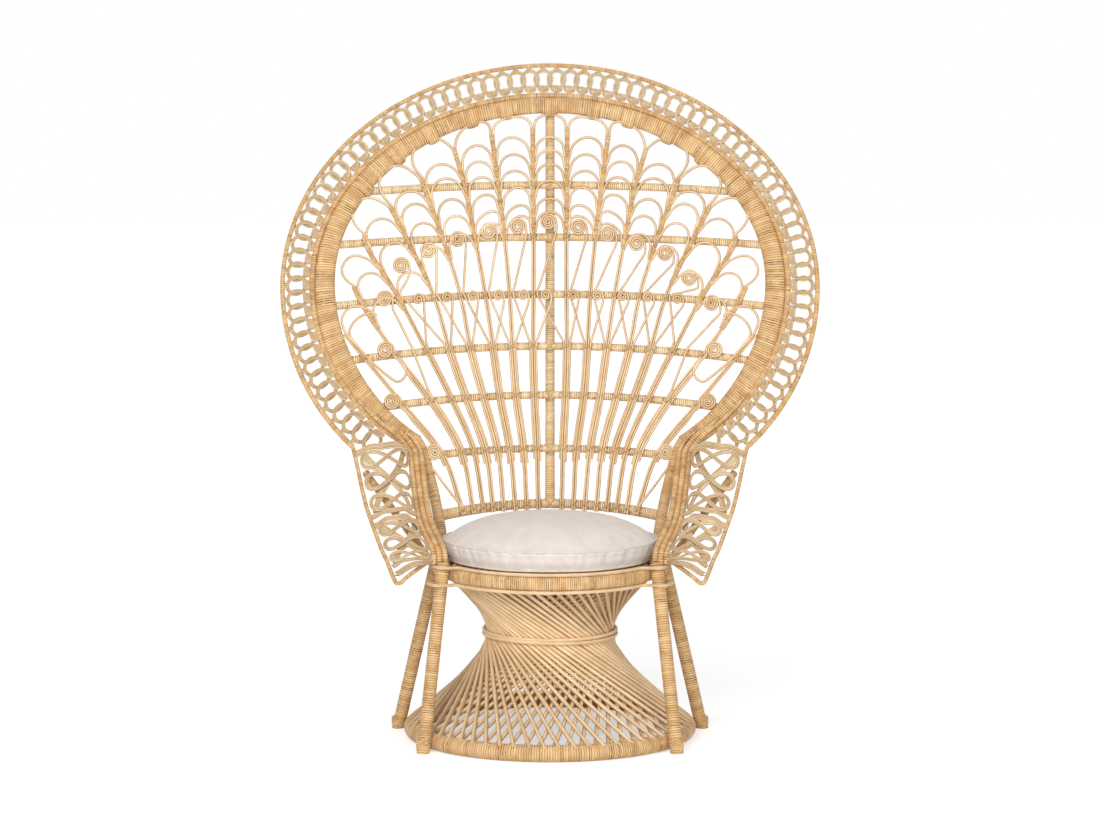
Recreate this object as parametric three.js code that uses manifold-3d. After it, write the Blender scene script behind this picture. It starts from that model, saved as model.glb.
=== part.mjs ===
// A peacock chair: a rattan throne with a fan back, a lace border, flared lace arms,
// an hourglass base of twisted canes and a loose round seat cushion.
// Units are millimetres. +Z is up, +Y is towards the back, +X is the sitter's left.
import * as THREE from 'three';
import { mergeVertices } from 'three/addons/utils/BufferGeometryUtils.js';
import Module from 'manifold-3d';

const wasm = await Module();
wasm.setup();

const UP = new THREE.Vector3(0, 0, 1);

// Gap left between two pieces that lie against each other.
const CLEAR = 0.3;

// Seat ring, its edge reeds and the woven panel.
const SEAT_RADIUS = 245;
const SEAT_TOP = 390;
const APRON_HEIGHT = 30;
const APRON_DEPTH = 32;
const EDGE_REED = 8;
const PANEL_THICKNESS = 4;

// Hourglass base.
const BASE_RADIUS = 327;
const BASE_POLE = 37;
const CANE_COUNT = 60;
const CANE_WIDTH = 8.6;
const CANE_TWIST = 115;
const WAIST_REED = 8;

// Legs: where they stand round the rings, in degrees from the X axis.
const LEG_TOP_WIDTH = 28;
const LEG_FOOT_WIDTH = 30;
const FRONT_LEG_TOP_ANGLE = -24;
const FRONT_LEG_FOOT_ANGLE = -38;
const REAR_LEG_ANGLE = 11;
const LEG_RISE = 10;
// The front legs turn as they lean, so they stand a little farther off the seat ring.
const FRONT_LEG_GAP = 0.8;
const REAR_LEG_GAP = 0.2;

// Cushion: boxing with piping at both seams, and a crown.
const CUSHION_INSET = 16;
const CUSHION_RADIUS = SEAT_RADIUS - CUSHION_INSET;
const CUSHION_BOXING = 50;
const CUSHION_CROWN = 34;
const PIPING = 5;
// Shares of the radius and of the crown height that the top passes through.
const CROWN_PROFILE = [[0.86, 0.42], [0.65, 0.78], [0.35, 0.96]];

// The back is a shell that leans, and that is bowed round the sitter, less so higher up.
const BACK_Y = 235;
const BACK_Z = 480;
const BACK_LEAN = 0.14;
const BACK_BOW = 284;
const BACK_BOW_GROWTH = 1.81;

// Hoops of the back: half width, height above and depth below the widest line.
const HOOP_Z = 1005;
const HOOP_BAND = { half: 511, above: 397, below: 450 };
const BEAD_OFFSET = { half: 28, above: 24, below: 12 };
const LACE_BORDER = { half: 64, above: 69, below: 73 };
const BAND_WIDTH = 42;
const BAND_TOP_WIDTH = 34;
const BAND_FOOT_WIDTH = 26;
const BAND_DEPTH = 26;
const BEAD_WIDTH = 11;
const RIM_WIDTH = 10;
const ARM_HEIGHT = 640;

function outside(hoop, offset) {
  return {
    half: hoop.half + offset.half,
    above: hoop.above + offset.above,
    below: hoop.below + offset.below,
  };
}

const HOOP_BEAD = outside(HOOP_BAND, BEAD_OFFSET);
const RIM = outside(HOOP_BEAD, LACE_BORDER);
// Below the arms the broad hoop passes a knee, then stands upright on the seat ring's side.
const KNEE = { x: 266, z: 545 };
const SHIN_RISE = 12;

// Lace border between the bead and the rim.
const LACE_SECTIONS = 8;
const LACE_LOOPS = 11;
const LACE_THICKNESS = 5;

// Fan: rails, stakes, scallops and scrolls.
const RAIL_WIDTH = 18;
const SEAT_RAIL_WIDTH = 22;
const SPINE_WIDTH = 24;
const STAKE_WIDTH = 11;
const STAKE_DEPTH = 7;
const BUNDLE_WIDTH = 22;
const SINGLE_WIDTH = 8;
const SCALLOP_WIDTH = 6;
const SCALLOP_DEPTH = 5.6;
const SCROLL_CANE = 5;
const BUNDLE_END = 585;
const BUNDLE_STEP = 12;
const STAKE_TAIL = 14;

// Each rail: height at the middle, its rise there over its ends, half its span, and where the
// eight stakes of one side cross it, from the middle outwards.
const RAILS = [
  { name: 'rail_1', z: 1220, rise: 12, span: 403, stakes: [39, 120, 197, 290] },
  { name: 'rail_2', z: 1100, rise: 12, span: 472, stakes: [38, 105, 173, 247, 328, 424] },
  { name: 'rail_3', z: 969, rise: 19, span: 490, stakes: [38, 93, 149, 206, 266, 345, 431] },
  { name: 'rail_4', z: 850, rise: 20, span: 433, stakes: [39, 86, 131, 183, 231, 283, 353, 423] },
  { name: 'rail_5', z: 738, rise: 16, span: 379, stakes: [36, 78, 115, 153, 192, 228, 271, 337] },
  { name: 'rail_6', z: 616, rise: 8, span: 285, stakes: [30, 61, 92, 120, 148, 176, 203, 246] },
  { name: 'seat_back_rail', z: 490, rise: 8, span: 240, stakes: [27, 54, 80, 107, 131, 153, 176, 200] },
];
// Where the stakes of one side end under the hoop, from the middle outwards.
const STAKE_TOPS = [
  [40, 1352], [135, 1337], [223, 1306], [298, 1238],
  [369, 1174], [425, 1109], [449, 992], [467, 885],
];
// Scallops between neighbouring stakes, from the middle sector outwards, and their spacing.
const SCALLOPS = [7, 7, 7, 6, 5, 4, 3, 2];
const SCALLOP_PITCH = 35;
const TALL_SCROLL = { radius: 15, turns: 2 };
const SMALL_SCROLL = { radius: 11, turns: 1.25 };
// Height of each sector's tall scroll, from the middle sector outwards.
const TALL_SCROLL_Z = [1134, 1122, 1104, 1088, 1062, 1022, 956];

// Arms.
const ARM_POLE = 12;
const ARM_RIM = 9;
const BRACE_WIDTH = 17;
// The arm's crease, its rim's bend and its rim's tip: outwards from the seat ring, then along Y,
// then upwards from the seat.
const CREASE_PLACE = [25, 10, 95];
const BEND_PLACE = [150, -50, 95];
const TIP_PLACE = [85, -150, -5];
const ARM_LACE = 4;
const ARM_BULGE = 22;

// Facets of the thin canes and of the rings.
const RING_STEPS = 28;
const SCALLOP_STEPS = 5;
const SCROLL_STEPS = 8;

const CANE_COLOUR = 0xd9b98c;
const WRAP_COLOUR = 0xc99e63;
const LACE_COLOUR = 0xc2ae82;
const COTTON_COLOUR = 0xe9e2dc;

function vec(x, y, z) {
  return new THREE.Vector3(x, y, z);
}

function radians(degrees) {
  return THREE.MathUtils.degToRad(degrees);
}

function solid(geometry) {
  const bare = geometry.index ? geometry : geometry.clone();
  bare.deleteAttribute('normal');
  bare.deleteAttribute('uv');
  const merged = mergeVertices(bare, 1e-4);
  const corners = merged.index.array;
  const kept = [];
  for (let i = 0; i < corners.length; i += 3) {
    const [a, b, c] = corners.slice(i, i + 3);
    if (a !== b && b !== c && c !== a) kept.push(a, b, c);
  }
  return new wasm.Manifold(new wasm.Mesh({
    numProp: 3,
    vertProperties: new Float32Array(merged.attributes.position.array),
    triVerts: new Uint32Array(kept),
  }));
}

function geometryOf(body) {
  const mesh = body.getMesh();
  const geometry = new THREE.BufferGeometry();
  geometry.setAttribute('position', new THREE.BufferAttribute(mesh.vertProperties, 3));
  geometry.setIndex(new THREE.BufferAttribute(mesh.triVerts, 1));
  return geometry;
}

function union(bodies) {
  return bodies.reduce((sum, body) => sum.add(body));
}

// The main piece of a cut body, without its offcuts.
function largest(body) {
  return body.decompose().reduce((best, part) => (part.volume() > best.volume() ? part : best));
}

// A closed skin over rings of points, with flat ends.
function loft(rings) {
  const count = rings[0].length;
  const last = (rings.length - 1) * count;
  const index = [];
  for (let i = 0; i + 1 < rings.length; i += 1) {
    for (let k = 0; k < count; k += 1) {
      const a = i * count + k;
      const b = i * count + ((k + 1) % count);
      index.push(a, b, b + count, a, b + count, a + count);
    }
  }
  for (let k = 1; k + 1 < count; k += 1) {
    index.push(0, k + 1, k, last, last + k, last + k + 1);
  }
  const geometry = new THREE.BufferGeometry();
  geometry.setFromPoints(rings.flat());
  geometry.setIndex(index);
  return geometry;
}

// A regular outline whose flats lie half a unit from its middle, turned by a share of a side.
function roundOutline(sides, turn = 0.5) {
  const reach = 0.5 / Math.cos(Math.PI / sides);
  return Array.from({ length: sides }, (_, k) => {
    const angle = ((k + turn) * 2 * Math.PI) / sides;
    return [reach * Math.cos(angle), reach * Math.sin(angle)];
  });
}

// Section of the thin canes: a ridge in front and a flat behind.
const RIDGE_OUTLINE = [[0.5, 0.4], [-0.5, 0.4], [0, -0.6]];

// A rod along points: across lies square to the given facing, deep lies along it.
function rod(points, facings, across, deep, outline = roundOutline(4)) {
  const rings = points.map((point, i) => {
    const before = points[Math.max(i - 1, 0)];
    const after = points[Math.min(i + 1, points.length - 1)];
    const along = after.clone().sub(before).normalize();
    const side = along.clone().cross(facings[i]).normalize();
    const face = side.clone().cross(along);
    const width = typeof across === 'function' ? across(i / (points.length - 1)) : across;
    return outline.map(([u, v]) => point.clone()
      .addScaledVector(side, -u * width)
      .addScaledVector(face, v * deep));
  });
  return solid(loft(rings));
}

// A ring about the Z axis from a closed outline of [radius, height].
function turned(outline) {
  const closed = [...outline, outline[0]].map(([r, z]) => new THREE.Vector2(r, z));
  const geometry = new THREE.LatheGeometry(closed, RING_STEPS);
  geometry.rotateX(Math.PI / 2);
  return solid(geometry);
}

function reedRing(radius, height, width, sides = 4, turn = 0.5) {
  return turned(roundOutline(sides, turn).map(([u, v]) => [radius + u * width, height + v * width]));
}

// Back shell
function backBow(z) {
  return BACK_BOW + BACK_BOW_GROWTH * (z - BACK_Z);
}

function backNormal(x, z) {
  const bow = backBow(z);
  const slopeX = -x / bow;
  const slopeZ = BACK_LEAN + (x * x * BACK_BOW_GROWTH) / (2 * bow * bow);
  return vec(-slopeX, 1, -slopeZ).normalize();
}

function backPoint(x, z, depth = 0) {
  const bow = backBow(z);
  const y = BACK_Y + BACK_LEAN * (z - BACK_Z) - (x * x) / (2 * bow);
  return vec(x, y, z).addScaledVector(backNormal(x, z), depth);
}

// A rod drawn as [x, z] points on the back shell, at a depth behind its face.
function backRod(drawing, across, deep, depth = 0, outline = roundOutline(4)) {
  const depthAt = typeof depth === 'function' ? depth : () => depth;
  const last = drawing.length - 1;
  const points = drawing.map(([x, z], i) => backPoint(x, z, depthAt(i / last)));
  const facings = drawing.map(([x, z]) => backNormal(x, z));
  return rod(points, facings, across, deep, outline);
}

// Point of a hoop curve: u runs from 0 at the right arm, over the top, to 1 at the left arm.
function hoopPoint(curve, u) {
  const foot = -Math.asin((HOOP_Z - ARM_HEIGHT) / curve.below);
  const angle = foot + u * (Math.PI - 2 * foot);
  const rise = Math.sin(angle);
  return [curve.half * Math.cos(angle), HOOP_Z + rise * (rise > 0 ? curve.above : curve.below)];
}

function hoopDrawing(curve, steps) {
  return Array.from({ length: steps + 1 }, (_, i) => hoopPoint(curve, i / steps));
}

const RAIL_DEPTH = STAKE_DEPTH / 2 + CLEAR + RAIL_WIDTH / 2;
const HOOP_STEPS = 36;
const HOOP_FOOT_ANGLE = radians(21);
const HOOP_FOOT_RADIUS = SEAT_RADIUS + BAND_FOOT_WIDTH / 2 + CLEAR;
const BAND_OUTLINE = [[0.5, -0.25], [0.5, 0.25], [0, 0.5], [-0.5, 0.25], [-0.5, -0.25], [0, -0.5]];

// The broad wrapped hoop runs down past the arms to the outside of the seat ring.
function backHoop(grow = 0) {
  const drawing = hoopDrawing(HOOP_BAND, HOOP_STEPS);
  const band = drawing.map(([x, z]) => backPoint(x, z, RAIL_DEPTH / 2));
  const facings = drawing.map(([x, z]) => backNormal(x, z));
  const footX = HOOP_FOOT_RADIUS * Math.cos(HOOP_FOOT_ANGLE);
  const footY = HOOP_FOOT_RADIUS * Math.sin(HOOP_FOOT_ANGLE);
  const shin = [[footX, footY, SEAT_TOP - APRON_HEIGHT], [footX, footY, SEAT_TOP + SHIN_RISE]];
  const knee = backPoint(KNEE.x, KNEE.z, RAIL_DEPTH / 2);
  const right = [...shin.map((p) => vec(...p)), knee];
  const left = right.map((p) => vec(-p.x, p.y, p.z)).reverse();
  const tangent = vec(-Math.sin(HOOP_FOOT_ANGLE), Math.cos(HOOP_FOOT_ANGLE), 0);
  const lower = [tangent, tangent, backNormal(KNEE.x, KNEE.z)];
  const points = [...right, ...band, ...left];
  const faces = [...lower, ...facings, ...lower.map((n) => vec(-n.x, n.y, n.z)).reverse()];
  const width = (t) => {
    const reach = Math.min(t, 1 - t) * 2;
    const swell = THREE.MathUtils.smoothstep(reach, 0.12, 0.35);
    const crown = THREE.MathUtils.smoothstep(reach, 0.6, 1);
    const side = BAND_FOOT_WIDTH + (BAND_WIDTH - BAND_FOOT_WIDTH) * swell;
    return side + (BAND_TOP_WIDTH - BAND_WIDTH) * crown + 2 * grow;
  };
  return rod(points, faces, width, BAND_DEPTH + 2 * grow, BAND_OUTLINE);
}

const hoop = backHoop();
const hoopClear = backHoop(CLEAR);

function hoopRod(curve, width, grow = 0) {
  return backRod(hoopDrawing(curve, HOOP_STEPS), width + 2 * grow, width + 2 * grow, RAIL_DEPTH / 2);
}

const bead = hoopRod(HOOP_BEAD, BEAD_WIDTH);
const rim = hoopRod(RIM, RIM_WIDTH);
const rimClear = hoopRod(RIM, RIM_WIDTH, CLEAR);

// Point beside a hoop curve, at a distance outwards from it.
function besideHoop(curve, u, distance) {
  const step = 1e-3;
  const [x, z] = hoopPoint(curve, u);
  const [x1, z1] = hoopPoint(curve, u - step);
  const [x2, z2] = hoopPoint(curve, u + step);
  const length = Math.hypot(x2 - x1, z2 - z1);
  return new THREE.Vector2(x + (distance * (z2 - z1)) / length, z - (distance * (x2 - x1)) / length);
}

// One section of the lace border: a flat braid with a barrel-shaped gap in every loop.
const LACE_GAP = [[-0.22, 0.2], [-0.36, 0.5], [-0.22, 0.8], [0.22, 0.8], [0.36, 0.5], [0.22, 0.2]];
// A hoop rod is made of straight steps, which stand this far off its true curve.
const HOOP_SAG = 0.9;

function laceSection(section) {
  const loops = LACE_SECTIONS * LACE_LOOPS;
  const first = section * LACE_LOOPS;
  const at = (loop, across) => {
    const inner = besideHoop(HOOP_BEAD, loop / loops, BEAD_WIDTH / 2 + CLEAR);
    const outer = besideHoop(RIM, loop / loops, -RIM_WIDTH / 2 - CLEAR - HOOP_SAG);
    return inner.lerp(outer, across);
  };
  const seam = CLEAR / 2 / at(first, 0.5).distanceTo(at(first + 1, 0.5));
  const edges = Array.from({ length: LACE_LOOPS + 1 }, (_, i) => first + i);
  edges[0] += seam;
  edges[LACE_LOOPS] -= seam;
  const outer = edges.map((loop) => at(loop, 1));
  const inner = edges.map((loop) => at(loop, 0)).reverse();
  const shape = new THREE.Shape([...outer, ...inner]);
  for (let i = 0; i < LACE_LOOPS; i += 1) {
    const gap = LACE_GAP.map(([along, across]) => at(first + i + 0.5 + along, across));
    shape.holes.push(new THREE.Path(gap));
  }
  const depth = (RAIL_DEPTH - LACE_THICKNESS) / 2;
  return bent(shape, LACE_THICKNESS, (x, z, d) => backPoint(x, z, depth + LACE_THICKNESS - d));
}

// A flat outline with holes, thickened and laid on a surface point by point.
function bent(shape, thickness, place) {
  const options = { depth: thickness, bevelEnabled: false, curveSegments: 1 };
  const geometry = new THREE.ExtrudeGeometry(shape, options);
  const position = geometry.attributes.position;
  for (let i = 0; i < position.count; i += 1) {
    const point = place(position.getX(i), position.getY(i), position.getZ(i));
    position.setXYZ(i, point.x, point.y, point.z);
  }
  return solid(geometry);
}

// Rails and spine
function railHeight(rail, x) {
  return rail.z - rail.rise * (x / rail.span) ** 2;
}

const RAIL_STEPS = 10;
const RAIL_LAP = 8;

function railWidth(rail) {
  return rail.name === 'seat_back_rail' ? SEAT_RAIL_WIDTH : RAIL_WIDTH;
}

// Depth of a rail's middle behind the stakes, with the sag of its straight steps.
function railDepth(rail) {
  const step = (2 * (rail.span + RAIL_LAP)) / RAIL_STEPS;
  const sag = step ** 2 / (8 * backBow(rail.z));
  return STAKE_DEPTH / 2 + CLEAR + sag + railWidth(rail) / 2;
}

function railBody(rail) {
  const reach = rail.span + RAIL_LAP;
  const drawing = Array.from({ length: RAIL_STEPS + 1 }, (_, i) => {
    const x = reach * ((2 * i) / RAIL_STEPS - 1);
    return [x, railHeight(rail, x)];
  });
  const width = railWidth(rail);
  const whole = backRod(drawing, width, width, railDepth(rail), roundOutline(6, 0));
  return largest(whole.subtract(hoopClear));
}

const RAIL_BACK = Math.max(...RAILS.map((rail) => railDepth(rail) + railWidth(rail) / 2));
const SPINE_DEPTH = RAIL_BACK + CLEAR + SPINE_WIDTH / 2;
const spineFoot = RAILS[6].z - SEAT_RAIL_WIDTH;
const spineHead = HOOP_Z + HOOP_BAND.above + BAND_TOP_WIDTH / 2;
const spineDrawing = [[0, spineFoot], [0, spineHead]];
const spine = backRod(spineDrawing, SPINE_WIDTH, SPINE_WIDTH, SPINE_DEPTH, roundOutline(8))
  .subtract(hoopClear);

// Fan stakes. Stake 0 stands at the sitter's right end of the fan and stake 15 at the left end.
const STAKES = 16;
const HALF = STAKES / 2;

function stakeDrawing(number) {
  const side = number < HALF ? -1 : 1;
  const outward = number < HALF ? HALF - 1 - number : number - HALF;
  const points = [STAKE_TOPS[outward]];
  for (const rail of RAILS) {
    const x = rail.stakes[outward];
    if (x !== undefined) points.push([x, railHeight(rail, x)]);
  }
  const [footX, footZ] = points.at(-1);
  points.push([footX * (1 - STAKE_TAIL / footZ), footZ - STAKE_TAIL]);
  return points.map(([x, z]) => [side * x, z]);
}

const stakeDrawings = Array.from({ length: STAKES }, (_, i) => stakeDrawing(i));

// A stake is a pair of canes, joined by the scroll stems into a bundle from rail 4 to below
// rail 6. A single cane goes on from there to the rail behind the seat.
function stakeBody(number, grow = 0) {
  const [, , , rail4, rail5, rail6, seatRail] = RAILS;
  const bundle = number === 0 || number === STAKES - 1 ? STAKE_WIDTH : BUNDLE_WIDTH;
  const upper = stakeDrawings[number].filter(([, z]) => z > rail4.z);
  const at = (z) => besideStake(number, z);
  const stations = [
    ...upper.map((point) => [point, STAKE_WIDTH]),
    [at(rail4.z + BUNDLE_STEP), STAKE_WIDTH],
    [at(rail4.z - BUNDLE_STEP), bundle],
    [at(rail5.z), bundle],
    [at(rail6.z), bundle],
    [at(BUNDLE_END), bundle],
    [at(BUNDLE_END - 1), SINGLE_WIDTH],
    [at(seatRail.z), SINGLE_WIDTH],
    [stakeDrawings[number].at(-1), SINGLE_WIDTH],
  ];
  const width = (t) => stations[Math.round(t * (stations.length - 1))][1] + 2 * grow;
  return backRod(stations.map(([point]) => point), width, STAKE_DEPTH + 2 * grow);
}

// Point of a stake at a height, moved sideways by an offset square to the stake.
function besideStake(number, z, offset = 0) {
  const drawing = stakeDrawings[number];
  const found = drawing.findIndex((point, i) => i > 0 && point[1] <= z);
  const i = found < 0 ? drawing.length - 1 : found;
  const [x1, z1] = drawing[i - 1];
  const [x2, z2] = drawing[i];
  const share = (z - z1) / (z2 - z1);
  const length = Math.hypot(x2 - x1, z2 - z1);
  const x = x1 + (x2 - x1) * share;
  return [x + (offset * (z1 - z2)) / length, z + (offset * (x2 - x1)) / length];
}

// Height of a stake at a distance down from its top.
function downStake(number, distance) {
  const drawing = stakeDrawings[number];
  let left = distance;
  for (let i = 1; i < drawing.length; i += 1) {
    const [x1, z1] = drawing[i - 1];
    const [x2, z2] = drawing[i];
    const length = Math.hypot(x2 - x1, z2 - z1);
    if (left <= length) return z1 + ((z2 - z1) * left) / length;
    left -= length;
  }
  return drawing.at(-1)[1];
}

// Scallop number tier of the sector to the right of a stake: an arch that grows out of that
// stake and comes down against the next one. The two end sectors are cut off by the hoop, so
// their arches come down lower on the inner stake.
const SCALLOP_RISE = 0.75;
const SCALLOP_TOP_LAP = 10;
const END_SECTOR_DROP = 70;
const FUSE = 4.5;

// Offset of a cane that grows out of the right side of a stake.
function rootOffset(width) {
  return (STAKE_WIDTH + width) / 2 - FUSE;
}

// Offset of a cane that lies against the left side of a stake.
function landingOffset(width) {
  return -(STAKE_WIDTH + width) / 2 - 2 * CLEAR;
}

function scallop(number, tier) {
  const distance = tier === 0 ? SCALLOP_WIDTH : tier * SCALLOP_PITCH + SCALLOP_TOP_LAP;
  const fromDrop = number === STAKES - 2 ? END_SECTOR_DROP : 0;
  const toDrop = number === 0 ? END_SECTOR_DROP : 0;
  const rootZ = downStake(number, distance + fromDrop);
  const landingZ = downStake(number + 1, distance + toDrop);
  const [xa, za] = besideStake(number, rootZ, rootOffset(SCALLOP_WIDTH));
  const [xb, zb] = besideStake(number + 1, landingZ, landingOffset(SCALLOP_WIDTH));
  const width = Math.hypot(xb - xa, zb - za) / 2;
  const ux = (xb - xa) / (2 * width);
  const uz = (zb - za) / (2 * width);
  const drawing = Array.from({ length: SCALLOP_STEPS + 1 }, (_, i) => {
    const angle = (Math.PI * i) / SCALLOP_STEPS;
    const along = width * (1 - Math.cos(angle));
    const rise = SCALLOP_RISE * width * Math.sin(angle);
    return [xa + ux * along - uz * rise, za + uz * along + ux * rise];
  });
  return backRod(drawing, SCALLOP_WIDTH, SCALLOP_DEPTH, 0, RIDGE_OUTLINE);
}

// A scroll wound from its middle outwards, leaving on its right side down a stem.
const SCROLL_EYE = 4;
let leastGap = Infinity;

function scroll([x, z], { radius, turns }, stem) {
  const steps = Math.round(turns * SCROLL_STEPS);
  const coil = Array.from({ length: steps + 1 }, (_, i) => {
    const angle = (2 * Math.PI * (steps - i)) / SCROLL_STEPS;
    const reach = SCROLL_EYE + ((radius - SCROLL_EYE) * i) / steps;
    return [x + reach * Math.cos(angle), z + reach * Math.sin(angle)];
  });
  for (let i = 0; i < coil.length; i += 1) {
    for (let k = i + SCROLL_STEPS / 2 + 1; k < coil.length; k += 1) {
      const apart = Math.hypot(coil[i][0] - coil[k][0], coil[i][1] - coil[k][1]);
      leastGap = Math.min(leastGap, apart - SCROLL_CANE);
    }
  }
  return backRod([...coil, ...stem], SCROLL_CANE, SCROLL_CANE, 0, RIDGE_OUTLINE);
}

// The scrolls of the sector to the right of a stake. A tall one leans on that stake at rail 3
// and comes down against the next stake's bundle at rail 4. A small one sits on rail 3 and comes
// down into its own stake's bundle.
function scrolls(number) {
  const sector = Math.abs(number - HALF + 1);
  const found = [];
  const [, , rail3, rail4, rail5] = RAILS;
  const middleAt = (z) => (besideStake(number, z)[0] + besideStake(number + 1, z)[0]) / 2;
  const tallZ = TALL_SCROLL_Z[sector];
  const leanZ = rail3.z - rail3.rise / 2;
  const lone = sector === TALL_SCROLL_Z.length - 1;
  const bundleTop = rail4.z + BUNDLE_STEP;
  if (tallZ !== undefined) {
    const stem = lone
      ? [[middleAt(rail4.z), rail4.z], besideStake(number, rail5.z)]
      : [
        besideStake(number, leanZ, rootOffset(SCROLL_CANE)),
        besideStake(number + 1, bundleTop, landingOffset(SCROLL_CANE)),
      ];
    found.push(scroll([middleAt(tallZ), tallZ], TALL_SCROLL, stem));
  }
  if (sector < TALL_SCROLL_Z.length - 1) {
    const stem = [besideStake(number, rail4.z, STAKE_WIDTH / 2)];
    found.push(scroll([middleAt(leanZ), leanZ], SMALL_SCROLL, stem));
  }
  return found;
}

function fanStake(number) {
  const bodies = [stakeBody(number)];
  if (number < STAKES - 1) {
    const sector = Math.abs(number - HALF + 1);
    for (let tier = 0; tier < SCALLOPS[sector]; tier += 1) bodies.push(scallop(number, tier));
    bodies.push(...scrolls(number));
  }
  const fused = union(bodies).subtract(hoopClear);
  return largest(number < STAKES - 1 ? fused.subtract(stakeBody(number + 1, CLEAR)) : fused);
}

// Hourglass: straight canes, all leaning the same way round, that close up at the waist.
const FACET = 1 / Math.cos(Math.PI / RING_STEPS);
const CANE_HEAD = {
  radius: SEAT_RADIUS - APRON_DEPTH / 2 - CANE_WIDTH / 2,
  z: SEAT_TOP - APRON_HEIGHT - CLEAR,
};
const CANE_FOOT = { radius: BASE_RADIUS - BASE_POLE / 2, z: BASE_POLE + CLEAR };
const CANE_RUN = Math.sqrt(CANE_HEAD.radius ** 2 + CANE_FOOT.radius ** 2
  - 2 * CANE_HEAD.radius * CANE_FOOT.radius * Math.cos(radians(CANE_TWIST)));
const CANE_SPREAD = CANE_HEAD.radius * CANE_FOOT.radius * Math.sin(radians(CANE_TWIST));
const WAIST_RADIUS = CANE_SPREAD / CANE_RUN;
const WAIST_FROM_HEAD = Math.sqrt(CANE_HEAD.radius ** 2 - WAIST_RADIUS ** 2);
const CANE_DROP = CANE_HEAD.z - CANE_FOOT.z;
const WAIST_Z = CANE_HEAD.z - (CANE_DROP * WAIST_FROM_HEAD) / CANE_RUN;
const CANE_PITCH = (2 * Math.PI) / CANE_COUNT;
const CANE_HALF_RUN = WAIST_RADIUS * Math.tan(CANE_PITCH / 2);

function baseCanes() {
  const points = [];
  const index = [];
  const quad = (a, b, c, d) => index.push(a, b, c, a, c, d);
  const add = (point) => points.push(point) - 1;
  const polar = (radius, angle, z) => vec(radius * Math.cos(angle), radius * Math.sin(angle), z);
  const edges = [-CANE_WIDTH / 2, CANE_WIDTH / 2].map((z) => {
    const turn = Math.atan((-z * CANE_RUN) / CANE_DROP / WAIST_RADIUS);
    return [-CANE_WIDTH / 2, CANE_WIDTH / 2].map((out) => Array.from({ length: CANE_COUNT }, (_, i) => {
      const radius = (WAIST_RADIUS + out) / Math.cos(CANE_PITCH / 2);
      return add(polar(radius, (i - 0.5) * CANE_PITCH + turn, WAIST_Z + z));
    }));
  });
  const [[lowerIn, lowerOut], [upperIn, upperOut]] = edges;
  const end = (i, run, z) => {
    const radial = polar(1, i * CANE_PITCH, 0);
    const along = polar(1, i * CANE_PITCH + Math.PI / 2, 0);
    return [[1, -1], [1, 1], [-1, 1], [-1, -1]].map(([out, side]) => add(vec(0, 0, z)
      .addScaledVector(radial, WAIST_RADIUS + (out * CANE_WIDTH) / 2)
      .addScaledVector(along, run + side * CANE_HALF_RUN)));
  };
  const tube = (low, high) => low.forEach((_, k) => {
    const next = (k + 1) % low.length;
    quad(low[k], low[next], high[next], high[k]);
  });
  for (let i = 0; i < CANE_COUNT; i += 1) {
    const next = (i + 1) % CANE_COUNT;
    const head = end(i, -WAIST_FROM_HEAD, CANE_HEAD.z);
    const foot = end(i, CANE_RUN - WAIST_FROM_HEAD, CANE_FOOT.z);
    const upper = [upperOut[i], upperOut[next], upperIn[next], upperIn[i]];
    const lower = [lowerOut[i], lowerOut[next], lowerIn[next], lowerIn[i]];
    tube(upper, head);
    tube(foot, lower);
    quad(...head);
    quad(...foot.reverse());
    quad(lowerOut[i], lowerOut[next], upperOut[next], upperOut[i]);
    quad(lowerIn[next], lowerIn[i], upperIn[i], upperIn[next]);
  }
  const geometry = new THREE.BufferGeometry();
  geometry.setFromPoints(points);
  geometry.setIndex(index);
  return solid(geometry);
}

const waistReedRadius = FACET * (Math.hypot(
  WAIST_RADIUS + CANE_WIDTH / 2,
  CANE_HALF_RUN + (WAIST_REED * CANE_RUN) / CANE_DROP,
) + CLEAR + WAIST_REED / 2);

function waistReed(side) {
  return reedRing(waistReedRadius, WAIST_Z + (side * (WAIST_REED + CLEAR)) / 2, WAIST_REED);
}

// Rings, panel and cushion
const baseRing = reedRing(BASE_RADIUS - BASE_POLE / 2, BASE_POLE / 2, BASE_POLE, 6, 0);
const APRON_ROUND = 5;
const seatRing = turned([
  [SEAT_RADIUS - APRON_DEPTH, SEAT_TOP - APRON_HEIGHT],
  [SEAT_RADIUS - APRON_ROUND, SEAT_TOP - APRON_HEIGHT],
  [SEAT_RADIUS, SEAT_TOP - APRON_HEIGHT + APRON_ROUND],
  [SEAT_RADIUS, SEAT_TOP - APRON_ROUND],
  [SEAT_RADIUS - APRON_ROUND, SEAT_TOP],
  [SEAT_RADIUS - APRON_DEPTH, SEAT_TOP],
]);
const EDGE_RADIUS = SEAT_RADIUS - EDGE_REED / 2 - APRON_ROUND;
const topReed = reedRing(EDGE_RADIUS, SEAT_TOP + CLEAR + EDGE_REED / 2, EDGE_REED);
const lowerReed = reedRing(
  EDGE_RADIUS + APRON_ROUND / 2,
  SEAT_TOP - APRON_HEIGHT - CLEAR - EDGE_REED / 2,
  EDGE_REED,
);
const PANEL_RADIUS = EDGE_RADIUS - EDGE_REED / 2 - CLEAR;
const PANEL_Z = SEAT_TOP + CLEAR;
const panel = new THREE.CylinderGeometry(PANEL_RADIUS, PANEL_RADIUS, PANEL_THICKNESS, RING_STEPS);
panel.rotateX(Math.PI / 2);
panel.translate(0, 0, PANEL_Z + PANEL_THICKNESS / 2);
const CUSHION_Z = PANEL_Z + PANEL_THICKNESS + CLEAR;

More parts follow.
